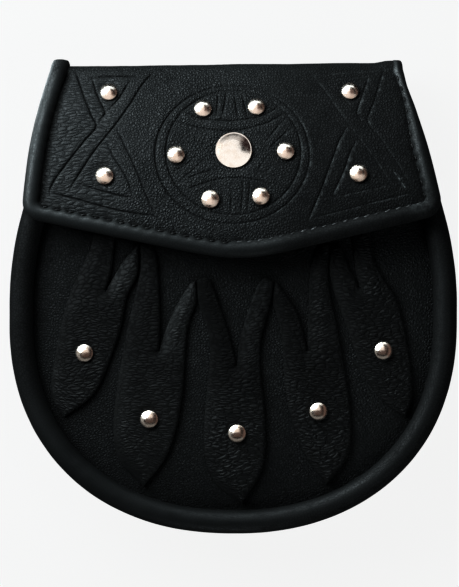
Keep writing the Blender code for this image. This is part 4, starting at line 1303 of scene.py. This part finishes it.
def make_flap_roll():
    """Thinner piping round the flap, drawn in at each stitch, its ends standing as ears."""
    stitches, depths = puckers()
    pucker = bpy.context.scene.sporran_sizes.pucker

    def nearest_stitch(place):
        """How deep the nearest stitch draws in, and how far off it is."""
        away = np.linalg.norm(stitches - np.array(place), axis=1)
        return depths[away.argmin()], away.min()

    def squeeze(station, place, spoke, turn):
        """How far the roll stands out or is drawn in."""
        uneven = wobble(station, turn, FLAP_ROLL_WAVES)
        if math.cos(turn) < -0.2:
            return uneven
        depth, away = nearest_stitch(place + spoke * FLAP_ROLL_RADIUS)
        return uneven - 2.4 * depth * bell(away, 1.9)

    path = stand_up(fine_path(flap_roll_path(), 0.8 * MM))
    piece = tube("flap_roll_leather", path, FLAP_ROLL_RADIUS, "flap roll leather", squeeze)
    dullness_and_painted_shade, wear_and_painted_highlight_mask = [], []
    for point in piece.data.vertices:
        (x, y, _), facing = point.co, point.normal.x
        # Painted shade: darker towards the right and low down, on the right-facing half and below the
        # top of the right ear, and over the left ear's top; painted shade also in the pinch at each
        # stitch.
        shade = max(0.75 * rise(x, 5, 30), 0.25 * rise(x, -55, -25)) * rise(y, 52, 38)
        if x > 62 * MM:
            shade = max(shade, 0.85 * smooth_step((facing + 0.15) / 0.3), 0.15 * rise(y, 94, 85))
        if x < 0:
            shade += 0.7 * rise(y, 88, 97) * smooth_step((facing + 0.8) / 0.4)
        depth, away = nearest_stitch(point.co)
        dullness_and_painted_shade.append(min(1.0, shade + 0.6 * depth / pucker * bell(away, 1.3)))
        # Lighter round the lower right corner, and a painted highlight on the left-facing side of the
        # right ear.
        corner, ear = (math.hypot(x - a * MM, y - b * MM) for a, b in ROLL_LIGHTENED_SPOTS)
        wear_and_painted_highlight_mask.append(0.9 * bell(corner, 4.5) + smooth_step((0.1 - facing) / 0.3) * bell(ear, 4))
    set_marks(piece.data, {"crease_and_painted_shade": dullness_and_painted_shade, "wear_and_painted_highlight": wear_and_painted_highlight_mask})
    for point in piece.data.vertices:
        top = EAR_TOP_Y + 0.35 * MM * ripple(point.co.x, point.co.z, 2.2 * MM, 3 * MM, 2.9)
        if point.co.y > top:
            point.co.y = top + 0.3 * (point.co.y - top)
    seat(piece, "roll_leather", "flap_roll")


def make_body_roll():
    """Thick piping round the front panel, from mouth corner to mouth corner."""
    flat = body_outline(BODY_ROLL_RADIUS, MOUTH_Y, 380)
    path = [(Vector((*p, rim_height(p.y))), 1.0, left_of(heading(flat, i)).to_3d())
            for i, p in enumerate(flat)]
    piece = tube("body_roll_leather", path, BODY_ROLL_RADIUS, "roll leather",
                 lambda station, place, spoke, turn: wobble(station, turn, BODY_ROLL_WAVES))
    dullness_and_painted_shade = []
    for point in piece.data.vertices:
        x, y, _ = point.co
        # Painted shade: darker on the outer side from the middle to the right, on the inner side at the
        # far right, on the left side above the bottom, and over the right half.
        outward = Vector((x, y - WIDEST_LOW_Y, 0)).normalized().dot(point.normal)
        dullness_and_painted_shade.append(0.5 * rise(x, -5, 35) * smooth_step((outward - 0.1) / 0.35)
                    + 0.25 * rise(x, 50, 70) * smooth_step((-outward - 0.25) / 0.3)
                    + 0.8 * rise(x, -62, -86) * rise(y, -70, -30) + 0.25 * rise(x, -20, 40))
    set_marks(piece.data, {"crease_and_painted_shade": dullness_and_painted_shade})
    seat(piece, "roll_leather", "body_roll")


# ---------------------------------------------------------------- the body's panels

def make_front_panel(count=420, levels=70):
    """Bulged front panel whose edge runs into the roll."""
    outline = body_outline(2 * BODY_ROLL_RADIUS - 1.6 * MM, PANEL_TOP_Y, count)
    outline += resample([outline[-1], outline[0]], 60)[1:-1]
    centre = Vector((0, PANEL_CENTRE_Y))
    edges = []
    for sides in LEAVES.values():
        around = leaf_outline(sides)
        edges += [[a, b] for a, b in zip(around, around[1:]) if b.y - a.y > 0.25 * (b - a).length]
    spots = [centre.lerp(p, 1 - level / levels) for level in range(levels) for p in outline]
    points, shade, grain = [], [], []
    for i, (spot, beside) in enumerate(zip(spots, spread(spots, edges))):
        level, place = divmod(i, len(outline))
        inwards = (spot - outline[place]).length
        # Painted shade: darker on the left and middle than on the right, a painted shadow to the right
        # of each drop's edge, and a painted shadow inside the roll on the left.
        shade.append(0.42 - 0.14 * rise(spot.x, -40, -10) - 0.28 * rise(spot.x, 25, 55)
                     + 0.5 * bell(beside, 2.2) + 0.55 * bell(inwards, 4.5) * rise(spot.x, -45, -65))
        grain.append(0.8 + 0.4 * rise(spot.x, -20, 40))
        lift = waves(spot, PANEL_WAVES) * min(1.0, 0.1 * level)
        points.append((*spot, front_height(*spot) + lift))
    points.append((*centre, front_height(*centre)))
    piece = add_object("front_panel_leather", points, ringed_faces(levels, len(outline)),
                       "panel leather", marks={"crease_and_painted_shade": shade + [0.3], "grain": grain + [1]})
    add_wall(piece, PANEL_THICKNESS, -1.0)
    seat(piece, "grained_leather", "front_panel")


def make_gusset(count=420, levels=14):
    """Wall between back and front, lightly gathered round the bottom."""
    top = body_outline(BODY_ROLL_RADIUS, GUSSET_TOP_Y, count)
    foot = body_outline(GUSSET_FOOT_INSET, GUSSET_TOP_Y, count)
    rows = []
    for level in range(levels):
        up = level / (levels - 1)
        row = []
        for i, (low, high) in enumerate(zip(foot, top)):
            spot = low.lerp(high, up)
            out = (spot - Vector((0, WIDEST_LOW_Y))).normalized()
            tight = smooth_step((WIDEST_LOW_Y - spot.y) / (50 * MM))
            gather = 0.32 * MM * tight * ripple(i, up, 4.5, 0.9, 2.7)
            gather += 0.15 * MM * ripple(i, up, 16, 0.7, 5.5)
            spot = spot + out * math.sin(math.pi * up) * (GUSSET_SWELL + gather)
            low_z = back_height(*spot) + PANEL_THICKNESS - 0.1 * MM
            high_z = rim_height(spot.y) - BODY_ROLL_RADIUS + 0.4 * MM
            row.append(Vector((*spot, blend(low_z, high_z, up))))
        rows.append(row)
    piece = add_object("gusset_leather", [p for row in rows for p in row], quads(levels, count),
                       "panel leather")
    add_wall(piece, PANEL_THICKNESS, 0.0)
    seat(piece, "grained_leather", "gusset")
    for name, level, seed in (("gusset_stitches_low", 1, 11), ("gusset_stitches_high", levels - 3, 12)):
        spots = rows[level][::2][3:-3]
        ups = [Vector((p.x, p.y - WIDEST_LOW_Y, 0)).normalized() for p in spots]
        line = [p + out * (PANEL_THICKNESS / 2 + 0.12 * MM) for p, out in zip(spots, ups)]
        sew(name, line, ups, *BODY_STITCH, seed=seed)


def make_back_panel(count=240):
    """Back panel, level over the strap loops and pressed flat on the floor lower down."""
    outline = body_outline(BACK_INSET, BACK_TOP_Y, count)
    outline += resample([outline[-1], outline[0]], 48)[1:-1]
    centre = Vector((0, REST_Y))
    reach = []
    for part in range(11):
        wide, high = (blend(REST_REACH[k], REST_FLAT[k], part / 10) for k in (0, 1))
        reach.append([centre + (p - centre) / math.hypot((p - centre).x / wide, (p - centre).y / high)
                      for p in outline])
    rings = [[p.lerp(q, part) for p, q in zip(outline, reach[0])]
             for part in (0.0, 0.04, 0.12, 0.25, 0.4, 0.55, 0.7, 0.85)]
    rings += reach + [[centre.lerp(p, part) for p in reach[-1]] for part in (0.8, 0.6, 0.4, 0.2)]
    points = [(*p, back_height(*p) + PANEL_THICKNESS / 2) for ring in rings for p in ring]
    points.append((*centre, PANEL_THICKNESS / 2))
    piece = add_object("back_panel_leather", points, ringed_faces(len(rings), len(outline)),
                       "back leather")
    add_wall(piece, PANEL_THICKNESS, 0.0, 0.45 * MM)
    seat(piece, "grained_leather", "back_panel")
    edge = body_outline(BACK_INSET + 2.4 * MM, BACK_TOP_Y - 9 * MM, 300)
    under = [Vector((*p, back_height(*p) - 0.1 * MM)) for p in edge]
    sew("back_stitches", under, [DOWN] * len(under), *BODY_STITCH, seed=13)


def make_strap_loops():
    """Two upright leather loops on the back, sewn at both ends and standing off between."""
    low = LOOP_THICKNESS / 2
    high = BACK_RISE - GAP - LOOP_THICKNESS / 2
    half_clear = LOOP_CLEAR / 2
    ramp_end = half_clear + LOOP_RAMP
    side = [(ramp_end + LOOP_SEAM, high), (ramp_end + LOOP_SEAM / 2, high)]
    side += [(blend(ramp_end, half_clear, i / 12), blend(high, low, smooth_step(i / 12)))
             for i in range(13)]
    side += [(half_clear * t, low) for t in (0.75, 0.5, 0.25)]
    profile = side + [(0, low)] + [(-y, z) for y, z in reversed(side)]
    columns = 9
    for name, x in (("strap_loop_left", -LOOP_X), ("strap_loop_right", LOOP_X)):
        points = [(x + blend(-1, 1, c / (columns - 1)) * LOOP_WIDTH / 2, LOOP_Y + y, z)
                  for y, z in profile for c in range(columns)]
        piece = add_object(name + "_leather", points, quads(len(profile), columns), "back leather")
        add_wall(piece, LOOP_THICKNESS, 0.0, 0.5 * MM)
        seat(piece, "grained_leather", name)
        for label, end in (("foot", -1), ("top", 1)):
            mid_y = LOOP_Y + end * (ramp_end + LOOP_SEAM / 2)
            box = [Vector((x + u * MM, mid_y + v * MM, high - LOOP_THICKNESS / 2 - 0.1 * MM))
                   for u, v in LOOP_BOX]
            line = [a.lerp(b, t / 6) for a, b in zip(box, box[1:]) for t in range(6)] + box[-1:]
            sew(f"{name}_stitches_{label}", line, [DOWN] * len(line), *LOOP_STITCH, seed=14 + end)


# ---------------------------------------------------------------- the drops and the metal

def make_drops():
    """Five forked drops in thin leather, crowned, their cut edges rounded."""
    crown = bpy.context.scene.sporran_sizes.drop_crown
    for number, (name, sides) in enumerate(LEAVES.items()):
        shadow, spared, coarse, coarse_low, rubbed = DROP_LOOKS[number]
        outline = leaf_outline(sides)
        edge = outline + outline[:1]
        rim = []
        for i, p in enumerate(outline):
            inward = left_of(outline[(i + 1) % len(outline)] - outline[i - 1])
            rim += [p + inward * step * MM for step in RIM_STEPS]
        rim = inside(rim, outline, np.tile(RIM_CLEAR, len(outline)))
        flat, faces = filled(outline, rim + staggered(outline, 0.85 * MM, 1.35 * MM))
        rivet, notch = pairs(LEAF_RIVETS[number])[0], pairs(sides[4])[0]
        tops, bottoms = [], []
        marks = {"wear_and_painted_highlight": [], "grain": [], "crease_and_painted_shade": []}
        for p, d, leg in zip(flat, *spread(flat, edge, True)):
            along = (edge[leg + 1] - edge[leg]).normalized()
            thin = smooth_step((-along.y - 0.1) / 0.5)
            round_off = 1 - math.sqrt(1 - near(d, 1.5) ** 2)
            lift = crown * rise(d, 0, 7) - blend(1.1, 0.35, thin) * MM * round_off
            lift -= 1.1 * MM * thin * near(d, 6) ** 2
            lift -= 0.55 * MM * bell((p - rivet).length, 2.0, 3.4)
            lift += waves(p, ((0.11, 6.5, 1.9, number + 0.5), (0.14, 11, 6, number + 10.5)))
            tops.append(Vector((*p, leaf_top(*p) + lift)))
            bottoms.append(Vector((*p, front_height(*p) - 0.15 * MM)))
            arm = rise(p.x - notch.x, 0, 4) * rise(p.y - notch.y, -7.2, 4.8)
            high = rise(p.y, -62, -17)
            # The lighter rim is real rubbing; the lighter arm is a painted highlight; the darker upper
            # part, spared on the arm, is painted shade.
            marks["wear_and_painted_highlight"].append(0.08 * near(d, 1.6) + rubbed * arm)
            marks["crease_and_painted_shade"].append(shadow * high * (1 - spared * arm))
            marks["grain"].append((FULL_GRAIN + coarse + coarse_low * (1 - high))
                                  * (1 - 0.6 * thin * near(d, 7)) - FULL_GRAIN)
        piece = add_sheet(name + "_leather", tops, bottoms, faces, "drop leather", 55, marks)
        seat(piece, "grained_leather", name)


def dome_profile(rim, steps):
    """(radius, height) of a flat-domed head with a rolled edge, both up to 1."""
    low = 0.26 if rim else 0.34
    profile = [(0.0, -0.25), (0.9, -0.25), (0.96, -0.1), (0.99, 0.02), (1.0, 0.6 * low),
               (0.99, 0.85 * low), (0.965, low)]
    if rim:
        profile += [(0.945, low + 0.02), (0.925, low), (0.905, low + 0.02)]
    start_r, start_z = profile[-1]
    for i in range(1, steps):
        part = i / steps
        profile.append((start_r * (1 - part), start_z + (1 - start_z) * (1 - (1 - part) ** 2)))
    return profile + [(0.0, 1.0)]


def make_rivets():
    """Domed nickel rivets on the drops and on the flap, and the snap's large cap."""
    sizes = bpy.context.scene.sporran_sizes
    tree = bpy.data.node_groups.get("rivets on leather") or rivet_tree()
    rows = (("drop_rivets", LEAF_RIVETS, leaf_top, "leaf_rivet"),
            ("corner_rivets", CORNER_RIVETS, flap_top, "corner_rivet"),
            ("ring_rivets", RING_RIVETS, flap_top, "ring_rivet"),
            ("snap_cap_dome", (CAP_PLACE,), flap_top, "snap_cap"))
    for number, (name, spots, carrier, node) in enumerate(rows):
        rim = node == "snap_cap"
        nodes = [node] if rim else [f"{node}_{i + 1}" for i in range(len(spots))]
        places, ups = [], []
        for x, y in spots:
            normal = surface_normal(carrier, x * MM, y * MM)
            places.append(Vector((x * MM, y * MM, carrier(x * MM, y * MM))) + normal * GAP)
            ups.append((normal + Vector((0, 0, 0.7))).normalized())
        shape = lathe("one head", dome_profile(rim, 16 if rim else 10), 48 if rim else 32)
        piece = spread_out(name, places, ups, tree, shape, [], "plated nickel",
                           Radius=sizes.cap_radius if rim else sizes.rivet_radius,
                           Height=sizes.cap_height if rim else sizes.rivet_height,
                           Seed=sizes.seed + number)
        seat(piece, "nickel", *nodes)
    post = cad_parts["snap_stud"]
    post.data.materials.clear()
    post.data.materials.append(finish_named("plated nickel"))


# ---------------------------------------------------------------- the stage

def add_light(name, place, aim, size, power, tint, receivers):
    """A soft light that looks at a place and lights some pieces alone."""
    lamp = bpy.data.lights.new(name, "AREA")
    lamp.shape = "RECTANGLE"
    lamp.size, lamp.size_y = size
    lamp.energy = power
    lamp.color = tint
    thing = put(name, lamp)
    thing.location = place
    thing.rotation_euler = (Vector(aim) - Vector(place)).to_track_quat("-Z", "Y").to_euler()
    lit = bpy.data.collections.new(name + " receivers")
    for piece in receivers:
        lit.objects.link(piece)
    thing.light_linking.receiver_collection = lit


def make_floor(tint):
    """Plain pale floor that keeps its own brightness, so that shadows on it stay faint."""
    surface = bpy.data.materials.new("pale floor")
    surface.use_nodes = True
    shader = surface.node_tree.nodes["Principled BSDF"]
    shader.inputs["Base Color"].default_value = (*dimmed(tint, FLOOR_SHARE), 1)
    shader.inputs["Roughness"].default_value = 0.9
    shader.inputs["Emission Color"].default_value = (*tint, 1)
    shader.inputs["Emission Strength"].default_value = FLOOR_GLOW
    corners = [(x * FLOOR_HALF, y * FLOOR_HALF, 0) for x, y in ((-1, -1), (1, -1), (1, 1), (-1, 1))]
    floor = add_object("floor", corners, [(0, 1, 2, 3)], surface.name)
    floor.visible_glossy = False


FLOOR_HALF = 3.0
FLOOR_GLOW = 0.964                  # the floor's own light, and the share of its colour that reflects
FLOOR_SHARE = 0.012
WORLD_GLOW = 0.01
SENSOR_WIDTH = 36.0
FOCAL_LENGTH = 131.41884
CAMERA_PLACE = (-1.56 * MM, 0.23 * MM, 0.936)
VIEW_GAMMA = 0.65
WARM = (1.0, 0.97, 0.93)
PLAIN = (0.97, 0.98, 0.99)
BROWN = (1.0, 0.72, 0.62)
COOL = (0.90, 1.0, 1.04)
LIGHTS = (               # name, place, aim, size, power, tint
    ("key light", (-0.56, 0.355, 0.42), (-0.02, 0.04, 0.03), (0.45, 0.45), 6.6, COOL),
    ("high light", (-0.27, 0.61, 0.38), (-0.02, 0.04, 0.03), (0.45, 0.45), 4.4, COOL),
    ("top strip", (0.0, 0.90, 0.25), (0, 0, 0.03), (1.2, 0.3), 1.8, COOL),
    ("left strip", (-0.90, 0.05, 0.16), (0, 0.05, 0.04), (0.9, 0.25), 0.1, COOL),
    ("right fill", (0.7, -0.5, 0.5), (0, 0, 0), (0.6, 0.6), 1.3, COOL),
    ("low fill", (0.2, -0.8, 0.30), (0, 0, 0), (0.8, 0.5), 1.9, COOL),
)
METAL = ("snap_cap_dome", "corner_rivets", "ring_rivets", "drop_rivets")
SIDES = [((x, y, 0.25), (0, 0, 0.1), (1.4, 0.3)) for x, y in ((-0.7, 0), (0.7, 0), (0, 0.7), (0, -0.7))]
FROM_LEFT, FROM_RIGHT, FROM_TOP, FROM_BELOW = SIDES
SKY = ((0, 0, 1.20), None, (2.4, 2.4))
SOFTBOXES = (            # lit pieces, place, aim (None for straight down), size, brightness, tint
    ("flap roll", (-0.20, 0.15, 0.004), (-0.20, 0.15, 1.0), (0.23, 0.13), 3.3, COOL),
    ("cap", (-0.22, 0.025, 0.30), None, (0.76, 1.05), 0.95, PLAIN),
    ("cap", (0.38, -0.18, 0.30), None, (0.44, 0.64), 0.95, PLAIN),
    ("cap", *FROM_LEFT, 0.85, PLAIN),
    ("cap", (0.70, -0.21, 0.25), (0, -0.21, 0.1), (0.98, 0.3), 0.45, WARM),
    ("cap", (-0.20, 0.70, 0.25), (-0.20, 0, 0.1), (1.0, 0.3), 0.60, PLAIN),
    ("cap", *FROM_BELOW, 0.62, WARM),
    ("cap", (0.80, 0.80, 0.40), (0, 0, 0.1), (1.0, 0.8), 0.04, (1.0, 0.45, 0.45)),
    ("flap", (-0.1975, 0.10, 0.25), None, (0.505, 0.60), 0.60, WARM),
    ("flap", (0.2775, -0.235, 0.25), None, (0.445, 0.53), 0.45, WARM),
    ("flap", *SKY, 0.20, BROWN), ("flap", *FROM_LEFT, 0.45, WARM), ("flap", *FROM_RIGHT, 0.16, BROWN),
    ("flap", *FROM_TOP, 0.35, WARM), ("flap", *FROM_BELOW, 0.16, BROWN),
    ("drops", (-0.175, 0.245, 0.30), None, (0.65, 0.51), 0.62, WARM),
    ("drops", *SKY, 0.13, BROWN), ("drops", *FROM_LEFT, 0.35, WARM),
    ("drops", *FROM_RIGHT, 0.22, BROWN), ("drops", *FROM_TOP, 0.55, WARM),
    ("drops", *FROM_BELOW, 0.30, WARM),
)


def make_stage():
    """Plain pale floor, soft light from the upper left and a camera straight overhead."""
    scene = bpy.context.scene
    make_floor(tuple(scene.sporran_colours.floor))
    for name, place, aim, size, power, tint in LIGHTS:
        spared = METAL if "fill" in name else METAL[:1]
        pieces = [o for o in scene.objects if o.type == "MESH" and o.name not in spared]
        add_light(name, place, aim, size, power, tint, pieces)
    lit = {"flap roll": ("flap_roll_leather",), "cap": ("snap_cap_dome",),
           "flap": ("corner_rivets", "ring_rivets"), "drops": ("drop_rivets",)}
    for name, place, aim, size, shine, tint in SOFTBOXES:
        pieces = [bpy.data.objects[label] for label in lit[name]]
        aim = aim or (place[0], place[1], 0)
        add_light(name + " softbox", place, aim, size, 4 * shine * size[0] * size[1], tint, pieces)
    world = bpy.data.worlds.new("studio")
    world.use_nodes = True
    glow = world.node_tree.nodes["Background"].inputs
    glow["Color"].default_value = (1, 1, 1, 1)
    glow["Strength"].default_value = WORLD_GLOW
    scene.world = world
    lens = bpy.data.cameras.new("camera")
    lens.sensor_width = SENSOR_WIDTH
    lens.lens = FOCAL_LENGTH
    camera = put("camera", lens)
    camera.location = CAMERA_PLACE
    scene.camera = camera
    scene.view_settings.view_transform = "Standard"
    scene.view_settings.gamma = VIEW_GAMMA


# ---------------------------------------------------------------- operators and panel

class SPORRAN_OT_panels(bpy.types.Operator):
    """Make the front panel, the gusset and the back panel."""
    bl_idname = "sporran.panels"
    bl_label = "Body Panels"

    def execute(self, context):
        make_front_panel()
        make_gusset()
        make_back_panel()
        return {"FINISHED"}


class SPORRAN_OT_rolls(bpy.types.Operator):
    """Make the piping round the body and round the flap."""
    bl_idname = "sporran.rolls"
    bl_label = "Rolls"

    def execute(self, context):
        make_body_roll()
        make_flap_roll()
        return {"FINISHED"}


class SPORRAN_OT_flap(bpy.types.Operator):
    """Make the flap's leather with its embossed lines."""
    bl_idname = "sporran.flap"
    bl_label = "Flap"

    def execute(self, context):
        make_flap()
        return {"FINISHED"}


class SPORRAN_OT_flap_stitches(bpy.types.Operator):
    """Sew the flap to its roll."""
    bl_idname = "sporran.flap_stitches"
    bl_label = "Flap Stitches"

    def execute(self, context):
        for number, (name, line, ups, pitch, stitch, _, thread) in enumerate(seam_rows()):
            sew("flap_stitches_" + name, line, ups, pitch, stitch, thread, number)
        return {"FINISHED"}


class SPORRAN_OT_drops(bpy.types.Operator):
    """Make the five forked drops on the front panel."""
    bl_idname = "sporran.drops"
    bl_label = "Drops"

    def execute(self, context):
        make_drops()
        return {"FINISHED"}


class SPORRAN_OT_metal(bpy.types.Operator):
    """Make the rivets and the snap."""
    bl_idname = "sporran.metal"
    bl_label = "Rivets and Snap"

    def execute(self, context):
        make_rivets()
        return {"FINISHED"}


class SPORRAN_OT_strap_loops(bpy.types.Operator):
    """Make the two strap loops on the back."""
    bl_idname = "sporran.strap_loops"
    bl_label = "Strap Loops"

    def execute(self, context):
        make_strap_loops()
        return {"FINISHED"}


class SPORRAN_OT_stage(bpy.types.Operator):
    """Make the floor, the lights and the camera."""
    bl_idname = "sporran.stage"
    bl_label = "Stage"

    def execute(self, context):
        make_stage()
        return {"FINISHED"}


OPERATORS = (SPORRAN_OT_panels, SPORRAN_OT_rolls, SPORRAN_OT_flap, SPORRAN_OT_flap_stitches,
             SPORRAN_OT_drops, SPORRAN_OT_metal, SPORRAN_OT_strap_loops, SPORRAN_OT_stage)


class SPORRAN_PT_pouch(bpy.types.Panel):
    """The pouch's pieces, sizes and colours, in the 3D view's sidebar."""
    bl_label = "Sporran Pouch"
    bl_space_type = "VIEW_3D"
    bl_region_type = "UI"
    bl_category = "Sporran"

    def draw(self, context):
        for operator in OPERATORS:
            self.layout.operator(operator.bl_idname)
        for group in (context.scene.sporran_sizes, context.scene.sporran_colours):
            box = self.layout.box()
            for label in group.__annotations__:
                box.prop(group, label)


CLASSES = (SporranSizes, SporranColours, *OPERATORS, SPORRAN_PT_pouch)


def register():
    """Make the operators, the panel and the settings known to Blender."""
    for entry in CLASSES:
        bpy.utils.register_class(entry)
    bpy.types.Scene.sporran_sizes = PointerProperty(type=SporranSizes)
    bpy.types.Scene.sporran_colours = PointerProperty(type=SporranColours)


def unregister():
    """Take them away again."""
    del bpy.types.Scene.sporran_colours
    del bpy.types.Scene.sporran_sizes
    for entry in reversed(CLASSES):
        bpy.utils.unregister_class(entry)


def main():
    """Make the whole pouch."""
    register()
    bpy.ops.sporran.panels()
    bpy.ops.sporran.rolls()
    bpy.ops.sporran.flap()
    bpy.ops.sporran.flap_stitches()
    bpy.ops.sporran.drops()
    bpy.ops.sporran.metal()
    bpy.ops.sporran.strap_loops()
    bpy.ops.sporran.stage()


if __name__ == "__main__":
    main()
